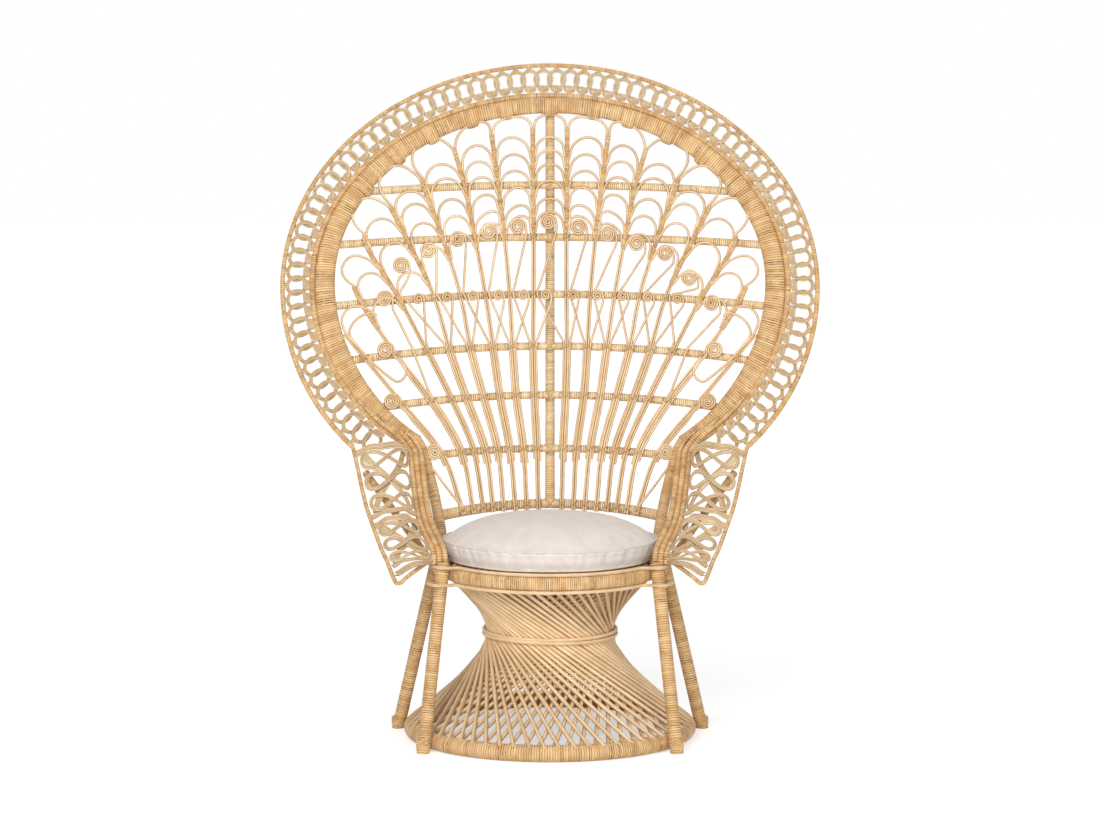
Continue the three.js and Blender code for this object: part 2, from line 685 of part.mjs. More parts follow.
function cushion() {
  const seam = CUSHION_Z + CUSHION_BOXING;
  const outline = [
    [0, CUSHION_Z],
    [CUSHION_RADIUS - 2 * PIPING, CUSHION_Z],
    [CUSHION_RADIUS, CUSHION_Z + PIPING],
    [CUSHION_RADIUS - PIPING / 2, CUSHION_Z + 2 * PIPING],
    [CUSHION_RADIUS, CUSHION_Z + CUSHION_BOXING / 2],
    [CUSHION_RADIUS - PIPING / 2, seam - 2 * PIPING],
    [CUSHION_RADIUS, seam - PIPING],
    [CUSHION_RADIUS - PIPING / 2, seam],
    [CUSHION_RADIUS - 2 * PIPING, seam],
    ...CROWN_PROFILE.map(([out, up]) => [CUSHION_RADIUS * out, seam + CUSHION_CROWN * up]),
    [0, seam + CUSHION_CROWN],
  ];
  const points = outline.map(([r, z]) => new THREE.Vector2(r, z));
  const geometry = new THREE.LatheGeometry(points, RING_STEPS);
  geometry.rotateX(Math.PI / 2);
  return solid(geometry);
}

// Legs stand outside both rings and lean outwards to the floor.
const LEG_LEAN = (BASE_RADIUS - SEAT_RADIUS) / SEAT_TOP;
const LEG_TOP_RADIUS = SEAT_RADIUS + LEG_TOP_WIDTH / 2;
const LEG_FOOT_RADIUS = BASE_RADIUS + LEG_FOOT_WIDTH / 2 + CLEAR + LEG_LEAN * BASE_POLE;

function leg(topAngle, footAngle, rise, gap, grow = 0) {
  const topRadius = LEG_TOP_RADIUS + gap - LEG_LEAN * (rise + APRON_ROUND);
  const top = vec(topRadius, 0, SEAT_TOP + rise).applyAxisAngle(UP, radians(topAngle));
  const foot = vec(LEG_FOOT_RADIUS, 0, 0).applyAxisAngle(UP, radians(footAngle));
  return { top, foot, body: levelPole(foot, top, LEG_FOOT_WIDTH, LEG_TOP_WIDTH, grow) };
}

// A leaning pole whose ends are cut level.
function levelPole(from, to, fromWidth, toWidth, grow) {
  const ring = (point, width) => roundOutline(8)
    .map(([u, v]) => vec(u, v, 0).multiplyScalar(width + 2 * grow).add(point));
  return solid(loft([ring(from, fromWidth), ring(to, toWidth)]));
}

function frontLegGrown(grow) {
  return leg(FRONT_LEG_TOP_ANGLE, FRONT_LEG_FOOT_ANGLE, LEG_RISE, FRONT_LEG_GAP, grow);
}

const frontLeg = frontLegGrown(0);
const frontLegClear = frontLegGrown(CLEAR).body;
const rearLeg = leg(REAR_LEG_ANGLE, REAR_LEG_ANGLE, 0, REAR_LEG_GAP);

// Arms, built on the +X side and mirrored.
function besideSeat([out, y, rise]) {
  return vec(SEAT_RADIUS + out, y, SEAT_TOP + rise);
}

const CREASE = besideSeat(CREASE_PLACE);
const POLE_START = vec(1, 3, 2 * ARM_POLE);
const poleFoot = frontLeg.top.clone().add(vec(0, 0, CLEAR));
const [hoopArmX, hoopArmZ] = hoopPoint(HOOP_BAND, 0);
const armHead = backPoint(hoopArmX, hoopArmZ, RAIL_DEPTH / 2);
const poleCurve = new THREE.CatmullRomCurve3([
  poleFoot,
  poleFoot.clone().add(POLE_START),
  CREASE,
  armHead,
]);
const TRIPLE_UPPER = [[0.5, 0], [0.33, 0.5], [0.167, 0.25], [0, 0.5], [-0.167, 0.25], [-0.33, 0.5]];
const TRIPLE_OUTLINE = [...TRIPLE_UPPER, ...TRIPLE_UPPER.map(([u, v]) => [-u, -v])];
const POLE_STEPS = 6;
const RIM_STEPS = 12;

function armPole(grow = 0) {
  const points = poleCurve.getPoints(POLE_STEPS);
  const facings = points.map(() => vec(0, -1, 1).normalize());
  return rod(points, facings, 3 * ARM_POLE + 2 * grow, ARM_POLE + 2 * grow, TRIPLE_OUTLINE);
}

const [rimEndX, rimEndZ] = hoopPoint(RIM, 0);
const armCorner = backPoint(rimEndX, rimEndZ, RAIL_DEPTH / 2);
const rimCurve = new THREE.CatmullRomCurve3([
  armCorner,
  besideSeat(BEND_PLACE),
  besideSeat(TIP_PLACE),
  frontLeg.top.clone().add(vec(0, 0, -LEG_RISE - APRON_HEIGHT / 4)),
]);

function armRim(grow = 0) {
  const points = rimCurve.getPoints(RIM_STEPS);
  const facings = points.map(() => vec(0.5, -1, 0.8).normalize());
  return rod(points, facings, ARM_RIM + 2 * grow, ARM_RIM + 2 * grow, roundOutline(5));
}

const BRACE_START = 0.1;
const rimAtBrace = rimCurve.getPoint(BRACE_START);
const underPanel = rimAtBrace.clone().sub(poleCurve.getPoint(1 - BRACE_START))
  .cross(rimCurve.getTangent(BRACE_START))
  .normalize();
const braceHead = rimAtBrace.clone().addScaledVector(underPanel, (BRACE_WIDTH + ARM_RIM) / 2);
const BRACE_END = 0.07;
const braceFoot = frontLeg.top.clone().lerp(frontLeg.foot, BRACE_END);

function armBrace(grow = 0) {
  const width = BRACE_WIDTH + 2 * grow;
  const facings = [vec(0, 1, 0), vec(0, 1, 0)];
  return rod([braceHead, braceFoot], facings, width, width, roundOutline(8));
}

// A lace panel between the arm pole and the rim, with the gaps between its knots.
const POLE_AT_CREASE = 2 / 3;
const RIM_AT_CREASE = 1 / 3;
const PANEL_GAPS = [
  [0.25, 0.16], [0.74, 0.2], [0.5, 0.38], [0.2, 0.52],
  [0.78, 0.56], [0.5, 0.72], [0.25, 0.86], [0.76, 0.88],
];
const PANEL_GAP = [[-0.15, 0], [0, -0.08], [0.15, 0], [0, 0.08]];
const PANEL_EDGES = 5;
const UNIT = 100;
const LACE_SLACK = 0.5;

function armLace(poleFrom, poleTo, rimFrom, rimTo) {
  const place = (u, v) => {
    const inner = poleCurve.getPoint(poleFrom + (poleTo - poleFrom) * v);
    const outer = rimCurve.getPoint(rimFrom + (rimTo - rimFrom) * v);
    const length = inner.distanceTo(outer);
    const from = (1.5 * ARM_POLE + CLEAR + LACE_SLACK) / length;
    const to = 1 - (ARM_RIM / 2 + CLEAR + LACE_SLACK) / length;
    return inner.lerp(outer, from + (to - from) * u);
  };
  const step = 0.01;
  const laid = (x, y, d) => {
    const turn = y < UNIT / 2 ? 1 : -1;
    const point = place(x / UNIT, y / UNIT);
    const du = place(x / UNIT + step, y / UNIT).sub(point);
    const dv = place(x / UNIT, y / UNIT + turn * step).sub(point);
    const rise = ARM_BULGE * Math.sin((Math.PI * x) / UNIT);
    return point.addScaledVector(du.cross(dv).normalize(), turn * (d - ARM_LACE / 2 - rise));
  };
  const rise = Array.from({ length: PANEL_EDGES + 1 }, (_, i) => (UNIT * i) / PANEL_EDGES);
  const shape = new THREE.Shape([
    ...rise.map((y) => new THREE.Vector2(UNIT, y)),
    ...rise.map((y) => new THREE.Vector2(0, y)).reverse(),
  ]);
  for (const [u, v] of PANEL_GAPS) {
    const gap = PANEL_GAP.map(([du, dv]) => new THREE.Vector2(UNIT * (u + du), UNIT * (v + dv)));
    shape.holes.push(new THREE.Path(gap));
  }
  return bent(shape, ARM_LACE, laid);
}

// Shares of the pole and rim that the two panels leave free at their ends and at the crease.
const LACE_TOP = 0.06;
const LACE_CREASE = 0.01;
const LACE_FOOT = 0.12;
const upperLace = armLace(
  1 - LACE_TOP / 2,
  POLE_AT_CREASE + LACE_CREASE,
  LACE_TOP / 2,
  RIM_AT_CREASE - LACE_CREASE,
);
const lowerLace = armLace(
  POLE_AT_CREASE - LACE_CREASE,
  LACE_FOOT,
  RIM_AT_CREASE + LACE_CREASE,
  2 * RIM_AT_CREASE - LACE_FOOT / 2,
);

function mirrored(body) {
  const geometry = geometryOf(body);
  const position = geometry.attributes.position;
  for (let i = 0; i < position.count; i += 1) position.setX(i, -position.getX(i));
  geometry.setIndex(Array.from(geometry.index.array).reverse());
  return solid(geometry);
}

// Assembly
const chair = new THREE.Group();

function add(name, body, color, roughness) {
  const material = new THREE.MeshStandardMaterial({ color, roughness, metalness: 0 });
  const mesh = new THREE.Mesh(body.isBufferGeometry ? body : geometryOf(body), material);
  mesh.name = name;
  chair.add(mesh);
}

const addCane = (name, body) => add(name, body, CANE_COLOUR, 0.55);
const addWrap = (name, body) => add(name, body, WRAP_COLOUR, 0.6);
const addLace = (name, body) => add(name, body, LACE_COLOUR, 0.65);

function cut(body, others) {
  if (others.length === 0) return body;
  return largest(others.reduce((rest, other) => rest.subtract(other), body));
}

// A piece and its mirror image, each cut to lie against pieces of the middle and of its own side.
function addPair(put, name, body, middle = [], side = []) {
  put(`${name}_left`, cut(body, [...middle, ...side]));
  put(`${name}_right`, cut(mirrored(body), [...middle, ...side.map(mirrored)]));
}

addWrap('base_ring', baseRing);
addCane('base_canes', baseCanes());
addCane('waist_reed_upper', waistReed(1));
addCane('waist_reed_lower', waistReed(-1));
addPair(addWrap, 'front_leg', frontLeg.body);
addPair(addWrap, 'rear_leg', rearLeg.body);
addWrap('seat_ring', seatRing);
addCane('seat_top_reed', topReed);
addCane('seat_lower_reed', lowerReed);
addLace('seat_panel', panel);
add('seat_cushion', cushion(), COTTON_COLOUR, 0.9);
addWrap('back_hoop', hoop);
addWrap('hoop_bead', bead);
addWrap('rim_rod', rim);
for (let i = 0; i < LACE_SECTIONS; i += 1) addLace(`border_lace_${i + 1}`, laceSection(i));
addWrap('spine', spine);
for (const rail of RAILS) addWrap(rail.name, railBody(rail));
for (let i = 0; i < STAKES; i += 1) {
  addCane(`fan_stake_${String(i + 1).padStart(2, '0')}`, fanStake(i));
}
addPair(addWrap, 'arm_pole', armPole(), [hoopClear], [frontLegClear]);
addPair(addWrap, 'arm_rim', armRim(), [rimClear], [frontLegClear]);
addPair(addWrap, 'arm_brace', armBrace(), [], [armRim(CLEAR), armPole(CLEAR), frontLegClear]);
addPair(addLace, 'arm_lace_upper', upperLace, [], [armBrace(CLEAR)]);
addPair(addLace, 'arm_lace_lower', lowerLace, [], [armBrace(CLEAR), armRim(CLEAR)]);

console.log(`least gap inside a scroll: ${leastGap.toFixed(2)} mm`);

// The origin is the middle of the footprint, on the floor.
chair.position.y = -new THREE.Box3().setFromObject(chair).getCenter(vec(0, 0, 0)).y;

export default chair;
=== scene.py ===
# %% [markdown]
# A peacock chair is a rattan throne: canes drawn out into a fan, bound with strips of split
# peel, on an hourglass of twisted canes. This lesson dresses the solids of such a chair with
# what the hand of the maker leaves on it: every cane, every turn of peel, the lace and the
# cushion. All lengths below are in millimetres until a mesh is made, and the chair faces -Y.

# %% The solids, and the tools of the lesson
import math
import random

import bpy
import numpy as np
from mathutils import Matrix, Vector


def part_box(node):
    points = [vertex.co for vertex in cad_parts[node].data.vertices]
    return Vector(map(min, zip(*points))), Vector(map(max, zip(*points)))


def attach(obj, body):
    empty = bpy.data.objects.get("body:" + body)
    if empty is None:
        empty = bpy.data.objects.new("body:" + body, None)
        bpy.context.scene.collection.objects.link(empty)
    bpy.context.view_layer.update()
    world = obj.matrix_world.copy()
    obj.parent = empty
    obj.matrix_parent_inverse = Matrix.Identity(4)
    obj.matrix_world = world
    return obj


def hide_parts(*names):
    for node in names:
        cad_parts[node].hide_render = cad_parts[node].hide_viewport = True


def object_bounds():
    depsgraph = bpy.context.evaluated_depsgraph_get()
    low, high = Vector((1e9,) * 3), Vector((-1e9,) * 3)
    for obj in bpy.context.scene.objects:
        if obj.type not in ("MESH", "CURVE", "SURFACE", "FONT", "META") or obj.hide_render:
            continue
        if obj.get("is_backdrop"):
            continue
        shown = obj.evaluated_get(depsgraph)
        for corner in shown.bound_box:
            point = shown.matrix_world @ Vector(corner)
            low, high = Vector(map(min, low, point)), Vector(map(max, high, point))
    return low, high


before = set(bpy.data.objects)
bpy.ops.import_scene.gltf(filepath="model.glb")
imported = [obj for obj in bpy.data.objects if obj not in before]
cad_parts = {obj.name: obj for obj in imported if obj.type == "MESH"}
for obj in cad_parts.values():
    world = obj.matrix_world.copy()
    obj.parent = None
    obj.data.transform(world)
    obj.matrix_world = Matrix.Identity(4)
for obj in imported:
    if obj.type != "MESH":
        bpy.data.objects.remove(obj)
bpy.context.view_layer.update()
random.seed(7)
MM = 0.001
low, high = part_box("base_ring")
MIDDLE_Y = (low[1] + high[1]) / 2 / MM
print("solids:", len(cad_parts), "middle of the base at y", round(MIDDLE_Y, 1))

# %% [markdown]
# The camera stands as in the photograph: seven metres in front and 1.4 metres up, looking
# slightly down. So far away, and through a long lens, the near arms aren't drawn too large.

# %% Camera
CAMERA_BACK = 7000
CAMERA_HEIGHT = 1420
CAMERA_DOWN = 5.671
LENS = 103.65
SENSOR = 36

bpy.ops.object.select_all(action="DESELECT")
bpy.ops.object.camera_add(
    location=(0, (MIDDLE_Y - CAMERA_BACK) * MM, CAMERA_HEIGHT * MM),
    rotation=(math.radians(90 - CAMERA_DOWN), 0, 0),
)
camera = bpy.context.object
camera.data.sensor_width = SENSOR
camera.data.lens = LENS
bpy.context.scene.camera = camera
bpy.context.scene.view_settings.view_transform = "Standard"
print("camera", CAMERA_BACK, "mm in front of the base and", CAMERA_HEIGHT, "mm up")

# %% [markdown]
# The lamps are large, so that shadows are soft. The strongest stands in front at the left, one
# at the right fills its shadows, a low one lights the base and one above lights the hoop. Small
# lamps would give each of the many thin canes a hard shadow.

# %% Lamps


def softbox(name, place, aim, size, power):
    bpy.ops.object.light_add(type="AREA", location=place)
    lamp = bpy.context.object
    lamp.name = name
    lamp.data.size = size
    lamp.data.energy = power
    towards = Vector(aim) - Vector(place)
    lamp.rotation_euler = towards.to_track_quat("-Z", "Y").to_euler()


softbox("key_light", (-1.8, -5.0, 3.2), (0, 0, 0.8), 2.0, 160)
softbox("fill_light", (2.8, -4.2, 1.8), (0, 0, 0.8), 2.6, 55)
softbox("low_light", (0.2, -5.2, 0.7), (0, 0, 0.35), 2.2, 56)
softbox("top_light", (0.3, 0.6, 4.2), (0, 0, 0.6), 3.0, 36)

# %% [markdown]
# The chair stands on white paper under a white sky. A sky that bright would also light the canes
# from all sides and wash them out. So both ask which kind of ray meets them: they show white to
# the camera and in reflections, and light the chair less than that.

# %% White paper and sky
SKY_LIGHT = 0.32
SKY_SHOWN = 1.0
PAPER = (0.85, 0.85, 0.85, 1)
FLOOR_GLOW = {"From Min": 1.0, "From Max": 5.0, "To Min": 0.5, "To Max": 0.85}


def node(tree, kind, inputs=None, **settings):
    made = tree.nodes.new(kind)
    for key, value in settings.items():
        setattr(made, key, value)
    for key, value in (inputs or {}).items():
        if isinstance(value, bpy.types.NodeSocket):
            tree.links.new(value, made.inputs[key])
        else:
            made.inputs[key].default_value = value
    return made


def seen_rays(tree):
    rays = node(tree, "ShaderNodeLightPath").outputs
    either = rays["Is Camera Ray"]
    for kind in ("Is Glossy Ray", "Is Transmission Ray"):
        both = node(tree, "ShaderNodeMath", {0: either, 1: rays[kind]}, operation="MAXIMUM")
        either = both.outputs[0]
    return either


world = bpy.data.worlds.new("studio")
bpy.context.scene.world = world
world.use_nodes = True
sky = world.node_tree
plain = node(sky, "ShaderNodeBackground", {"Color": (1, 1, 1, 1), "Strength": SKY_LIGHT})
white = node(sky, "ShaderNodeBackground", {"Color": (1, 1, 1, 1), "Strength": SKY_SHOWN})
seen = node(sky, "ShaderNodeMixShader", {0: seen_rays(sky)})
sky.links.new(plain.outputs[0], seen.inputs[1])
sky.links.new(white.outputs[0], seen.inputs[2])
sky.links.new(seen.outputs[0], sky.nodes["World Output"].inputs[0])

bpy.ops.mesh.primitive_plane_add(size=60)
floor = bpy.context.object
floor.name = "floor"
floor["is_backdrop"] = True
paper = bpy.data.materials.new("white_paper")
paper.use_nodes = True
tree = paper.node_tree
tree.nodes.clear()
matt = node(tree, "ShaderNodeBsdfDiffuse", {"Color": PAPER})
place = node(tree, "ShaderNodeTexCoord").outputs["Object"]
away = node(tree, "ShaderNodeVectorMath", {0: place}, operation="LENGTH").outputs["Value"]
rise = node(tree, "ShaderNodeMapRange", {"Value": away, **FLOOR_GLOW})
glow = node(tree, "ShaderNodeEmission", {"Strength": rise.outputs[0]})
lifted = node(tree, "ShaderNodeAddShader", {0: matt.outputs[0], 1: glow.outputs[0]})
shown = node(tree, "ShaderNodeMixShader", {0: seen_rays(tree)})
tree.links.new(matt.outputs[0], shown.inputs[1])
tree.links.new(lifted.outputs[0], shown.inputs[2])
node(tree, "ShaderNodeOutputMaterial", {"Surface": shown.outputs[0]})
floor.data.materials.append(paper)
print("studio ready")

# %% [markdown]
# Rattan shows three faces on this chair. Bare canes are peach-coloured and have a darker ring at
# each node of the plant. Poles are wound with glossy strips of peel, each strip a shade of its
# own, with a dark groove between turns. The lace is of flat split peel, and paler. The flanks of
# canes and strands are darkened with painted shade, where a round cane turns away from the
# light, and every cane and strand has a tone of its own. A photographed texture would repeat on
# so many canes, so all of this is made of nodes. These helpers keep the node trees short.

# %% Helpers for node trees


def tone(red, green, blue):
    parts = []
    for value in (red, green, blue):
        share = value / 255
        parts.append(share / 12.92 if share <= 0.04045 else ((share + 0.055) / 1.055) ** 2.4)
    return (*parts, 1)


def mix(tree, factor, first, second, blend="MIX"):
    made = node(tree, "ShaderNodeMix", data_type="RGBA", blend_type=blend)
    for index, value in ((0, factor), (6, first), (7, second)):
        socket = made.inputs[index]
        if isinstance(value, bpy.types.NodeSocket):
            tree.links.new(value, socket)
        else:
            socket.default_value = value
    return made.outputs[2]


def ramp(tree, factor, start, end):
    made = node(tree, "ShaderNodeMapRange", {"Value": factor, "From Min": start, "From Max": end})
    made.interpolation_type = "SMOOTHSTEP"
    return made.outputs[0]


def math_node(tree, operation, first, second=0.0):
    return node(tree, "ShaderNodeMath", {0: first, 1: second}, operation=operation).outputs[0]


print("a middle grey of 128 is", round(tone(128, 128, 128)[0], 3), "in linear light")

# %% [markdown]
# All the finishes share one ground, so it is made once, as a node group: two tones in soft
# blotches, with small flecks of a third. Around it come the steps that several finishes take:
# fibres along the strand, a tone for each strand, and painted shade on the flanks.

# %% The ground that the finishes share
RATTAN_SHINE = 0.22

rattan_tone = bpy.data.node_groups.new("rattan_tone", "ShaderNodeTree")
for socket in ("Light", "Dark", "Fleck"):
    rattan_tone.interface.new_socket(socket, in_out="INPUT", socket_type="NodeSocketColor")
rattan_tone.interface.new_socket("Color", in_out="OUTPUT", socket_type="NodeSocketColor")
rattan_tone.interface.new_socket("Height", in_out="OUTPUT", socket_type="NodeSocketFloat")
inside = node(rattan_tone, "NodeGroupInput")
place = node(rattan_tone, "ShaderNodeTexCoord").outputs["Object"]
blotch = node(rattan_tone, "ShaderNodeTexNoise", {"Vector": place, "Scale": 34, "Detail": 4})
fleck = node(rattan_tone, "ShaderNodeTexNoise", {"Vector": place, "Scale": 330, "Detail": 2})
blotched = mix(
    rattan_tone,
    ramp(rattan_tone, blotch.outputs[0], 0.36, 0.66),
    inside.outputs["Light"],
    inside.outputs["Dark"],
)
flecked = mix(
    rattan_tone,
    ramp(rattan_tone, fleck.outputs[0], 0.7, 0.82),
    blotched,
    inside.outputs["Fleck"],
)
node(rattan_tone, "NodeGroupOutput", {"Color": flecked, "Height": fleck.outputs[0]})


def finish_tree(name, light, dark, fleck_tone):
    material = bpy.data.materials.new(name)
    material.use_nodes = True
    tree = material.node_tree
    shared = node(tree, "ShaderNodeGroup", node_tree=rattan_tone)
    shared.inputs["Light"].default_value = light
    shared.inputs["Dark"].default_value = dark
    shared.inputs["Fleck"].default_value = fleck_tone
    lengthwise = node(tree, "ShaderNodeSeparateXYZ", {0: node(tree, "ShaderNodeUVMap").outputs[0]})
    return material, tree, shared, lengthwise.outputs[0], lengthwise.outputs[1]


def chance(tree, number):
    return node(tree, "ShaderNodeTexWhiteNoise", {"W": number}, noise_dimensions="1D").outputs[0]


def fibres(tree, around, along):
    across = math_node(tree, "MULTIPLY", around, 9)
    place = node(tree, "ShaderNodeCombineXYZ", {0: across, 1: along}).outputs[0]
    noise = node(tree, "ShaderNodeTexNoise", {"Vector": place, "Scale": 1.0, "Detail": 3})
    return noise.outputs[0]


def own_tone(tree, around, colour, other, strength):
    share = math_node(tree, "MULTIPLY", chance(tree, math_node(tree, "FLOOR", around)), strength)
    return mix(tree, share, colour, other)


# Painted shade: the colour darkens towards the flanks, where a round cane or strand turns away
# from the front.
def painted_flank_shade(tree, colour, around, shade, strength):
    facing = math_node(tree, "FRACT", around)
    flank_painted_shade = math_node(tree, "MULTIPLY", ramp(tree, facing, 0.96, 0.64), strength)
    return mix(tree, flank_painted_shade, colour, shade)


def close_tree(tree, colour, height, roughness, relief):
    shader = tree.nodes["Principled BSDF"]
    bump = node(tree, "ShaderNodeBump", {"Strength": relief, "Distance": 0.0006, "Height": height})
    tree.links.new(colour, shader.inputs["Base Color"])
    tree.links.new(bump.outputs[0], shader.inputs["Normal"])
    shader.inputs["Roughness"].default_value = roughness
    shader.inputs["Specular IOR Level"].default_value = RATTAN_SHINE


print("shared ground:", rattan_tone.name)

# %% [markdown]
# A bare cane has a dark ring at each node of the plant, about every 20 centimetres. The rings
# could be modelled, but they hardly stand out from the cane, so they are drawn by the finish: the
# length along the cane is counted in nodes, and the start of each count is dark. Noise shifts the
# count, so that rings on neighbouring canes don't line up.

# %% Bare cane
NODE_SPACING = 0.21
NODE_RING = 0.03

cane_skin, tree, shared, around, along = finish_tree(
    "bare_cane", tone(251, 224, 183), tone(239, 207, 163), tone(226, 190, 144)
)
drift = node(tree, "ShaderNodeTexNoise", {"W": along, "Scale": 1.6}, noise_dimensions="1D")
drifted = mix(
    tree,
    math_node(tree, "MULTIPLY", ramp(tree, drift.outputs[0], 0.4, 0.66), 0.5),
    shared.outputs[0],
    tone(220, 182, 136),
)
wander = node(tree, "ShaderNodeTexNoise", {"W": along, "Scale": 3.0}, noise_dimensions="1D")
counted = math_node(tree, "DIVIDE", along, NODE_SPACING)
placed = math_node(tree, "FRACT", math_node(tree, "ADD", counted, wander.outputs[0]))
ring = math_node(tree, "LESS_THAN", placed, NODE_RING)
ringed = mix(tree, math_node(tree, "MULTIPLY", ring, 0.55), drifted, tone(150, 108, 66))
fibre = fibres(tree, around, along)
streaked = mix(
    tree,
    math_node(tree, "MULTIPLY", ramp(tree, fibre, 0.5, 0.75), 0.2),
    ringed,
    tone(190, 150, 108),
)
toned = own_tone(tree, around, streaked, tone(210, 164, 112), 0.3)
# Painted shade on the flanks of the cane, in a dark brown.
with_painted_flank_shade = painted_flank_shade(tree, toned, around, tone(108, 68, 30), 0.75)
close_tree(tree, with_painted_flank_shade, fibre, 0.45, 0.05)
print("finish:", cane_skin.name)

# %% [markdown]
# On a wound pole the UV map counts the turns of peel. Each turn gets a shade of its own and a dark
# groove at both edges. More than a quarter of the turns lie loose, and their groove gapes in
# patches. The rails and the spine get a lighter copy of the peel, painted light that makes up for
# the shade on these thin poles behind the fan, so the finish is a function.

# %% Wound peel
TIGHT_TURNS = 0.72


def bound_finish(name, light, dark, groove, lively):
    material, tree, shared, _, turns = finish_tree(name, light, dark, groove)
    number = math_node(tree, "FLOOR", turns)
    shade = math_node(tree, "MULTIPLY", chance(tree, number), lively)
    varied = mix(tree, shade, shared.outputs[0], groove)
    across = math_node(tree, "FRACT", turns)
    offset = math_node(tree, "ABSOLUTE", math_node(tree, "SUBTRACT", across, 0.5))
    edge = ramp(tree, offset, 0.24, 0.47)
    grooved = mix(tree, math_node(tree, "MULTIPLY", edge, 0.92), varied, groove)
    place = node(tree, "ShaderNodeTexCoord").outputs["Object"]
    patch = node(tree, "ShaderNodeTexNoise", {"Vector": place, "Scale": 75, "Detail": 2})
    other = chance(tree, math_node(tree, "ADD", number, 0.37))
    loose = math_node(tree, "GREATER_THAN", other, TIGHT_TURNS)
    gap = ramp(tree, offset, 0.06, 0.34)
    open_groove = math_node(tree, "MULTIPLY", gap, ramp(tree, patch.outputs[0], 0.44, 0.56))
    marked = mix(tree, math_node(tree, "MULTIPLY", loose, open_groove), grooved, tone(92, 58, 28))
    close_tree(tree, marked, shared.outputs["Height"], 0.42, 0.3)
    return material


wound_peel = bound_finish(
    "wound_peel", tone(240, 203, 150), tone(223, 179, 124), tone(120, 76, 36), 0.3
)
# A lighter copy of the wound peel: painted light for the rails and the spine, which stand in
# shade.
painted_lit_peel = bound_finish(
    "painted_lit_peel", tone(255, 230, 184), tone(246, 211, 160), tone(140, 96, 52), 0.25
)
print("finishes:", wound_peel.name, painted_lit_peel.name)

# %% [markdown]
# The lace and the crossed ties are thin strips, split from the peel. They show fibres along the
# strip, and painted shade on their flanks sets each strand off from the next one beside it.

# %% Strands of the lace and the ties


def strand_finish(name, light, dark, streak, flank_painted_shade):
    material, tree, shared, around, along = finish_tree(name, light, dark, dark)
    fibre = fibres(tree, around, along)
    strength = math_node(tree, "MULTIPLY", ramp(tree, fibre, 0.45, 0.75), 0.45)
    streaked = mix(tree, strength, shared.outputs[0], streak)
    toned = own_tone(tree, around, streaked, streak, 0.75)
    # Painted shade on the flanks of each strand.
    with_painted_flank_shade = painted_flank_shade(tree, toned, around, flank_painted_shade, 0.75)
    close_tree(tree, with_painted_flank_shade, fibre, 0.5, 0.1)
    return material


# The last tone of each strand finish is its painted flank shade.
lace_peel = strand_finish(
    "lace_peel", tone(250, 227, 190), tone(238, 210, 168), tone(208, 176, 132), tone(96, 66, 34)
)
tie_peel = strand_finish(
    "tie_peel", tone(250, 220, 172), tone(236, 198, 146), tone(214, 172, 118), tone(100, 64, 30)
)
print("finishes:", lace_peel.name, tie_peel.name)

# %% [markdown]
# Rattan bends smoothly through the places where it is tied. A spline does the same: this one goes
# through every point, and is eased so that it doesn't overshoot where points lie close together.
# A stem under tension runs straight from tie to tie instead, which is the taut line.

# %% Lines


def bend(before, start, end, after, share):
    pairs = ((before, start), (start, end), (end, after))
    first, gap, last = (max((b - a).length, 1e-6) ** 0.5 for a, b in pairs)
    leave = (start - before) / first - (end - before) / (first + gap) + (end - start) / gap
    reach = (end - start) / gap - (after - start) / (gap + last) + (after - end) / last
    square, cube = share**2, share**3
    return (
        start * (2 * cube - 3 * square + 1)
        + end * (3 * square - 2 * cube)
        + leave * gap * (cube - 2 * square + share)
        + reach * gap * (cube - square)
    )


def with_ends(points):
    knots = [Vector(p) for p in points]
    return [2 * knots[0] - knots[1], *knots, 2 * knots[-1] - knots[-2]]


def smooth_line(points, step=9.0):
    if len(points) < 3:
        return [Vector(p) for p in points]
    knots = with_ends(points)
    line = []
    for four in zip(knots, knots[1:], knots[2:], knots[3:]):
        count = max(1, math.ceil((four[2] - four[1]).length / step))
        line += [bend(*four, i / count) for i in range(count)]
    return [*line, knots[-2]]


def on_curve(points, share):
    knots = with_ends(points)
    spans = len(points) - 1
    index = min(max(int(share * spans), 0), spans - 1)
    return bend(*knots[index : index + 4], share * spans - index)


def taut(points, step=22.0):
    line = []
    for start, end in zip(points, points[1:]):
        count = max(1, round((end - start).length / step))
        line += [start.lerp(end, i / count) for i in range(count)]
    return [*line, points[-1]]


def length_of(points):
    return sum((b - a).length for a, b in zip(points, points[1:]))


def draw_curve(points, closed=False, flat=False, radii=None):
    bpy.ops.curve.primitive_nurbs_path_add()
    drawn = bpy.context.object
    drawn.data.dimensions = "2D" if flat else "3D"
    drawn.data.splines.clear()
    spline = drawn.data.splines.new("POLY")
    spline.points.add(len(points) - 1)
    for i, point in enumerate(points):
        spline.points[i].co = (*(Vector(point) * MM), 1)
        spline.points[i].radius = radii[i] if radii else 1
    spline.use_cyclic_u = closed
    return drawn


arch = smooth_line([(0, 0, 0), (50, 50, 0), (100, 0, 0)])
print("a line through three points of an arch is", round(length_of(arch)), "mm long")

# %% [markdown]
# A cane is a curve with a round bevel, turned into a mesh. Its UV map holds its length, so that
# the nodes of the plant come at a true spacing. Across the map lies a whole number, for the tone
# of that cane, and in its decimals how squarely each point faces away from the drawing board, or
# from the axis of the base, which sets the painted shade on the flanks.

# %% Canes


def smooth_step(low_end, high_end, value):
    share = max(0.0, min(1.0, (value - low_end) / (high_end - low_end)))
    return share * share * (3 - 2 * share)


def coordinates(piece):
    found = np.empty(len(piece.data.vertices) * 3)
    piece.data.vertices.foreach_get("co", found)
    return found.reshape(-1, 3)


def place_points(piece, points):
    piece.data.vertices.foreach_set("co", points.ravel())
    piece.data.update()


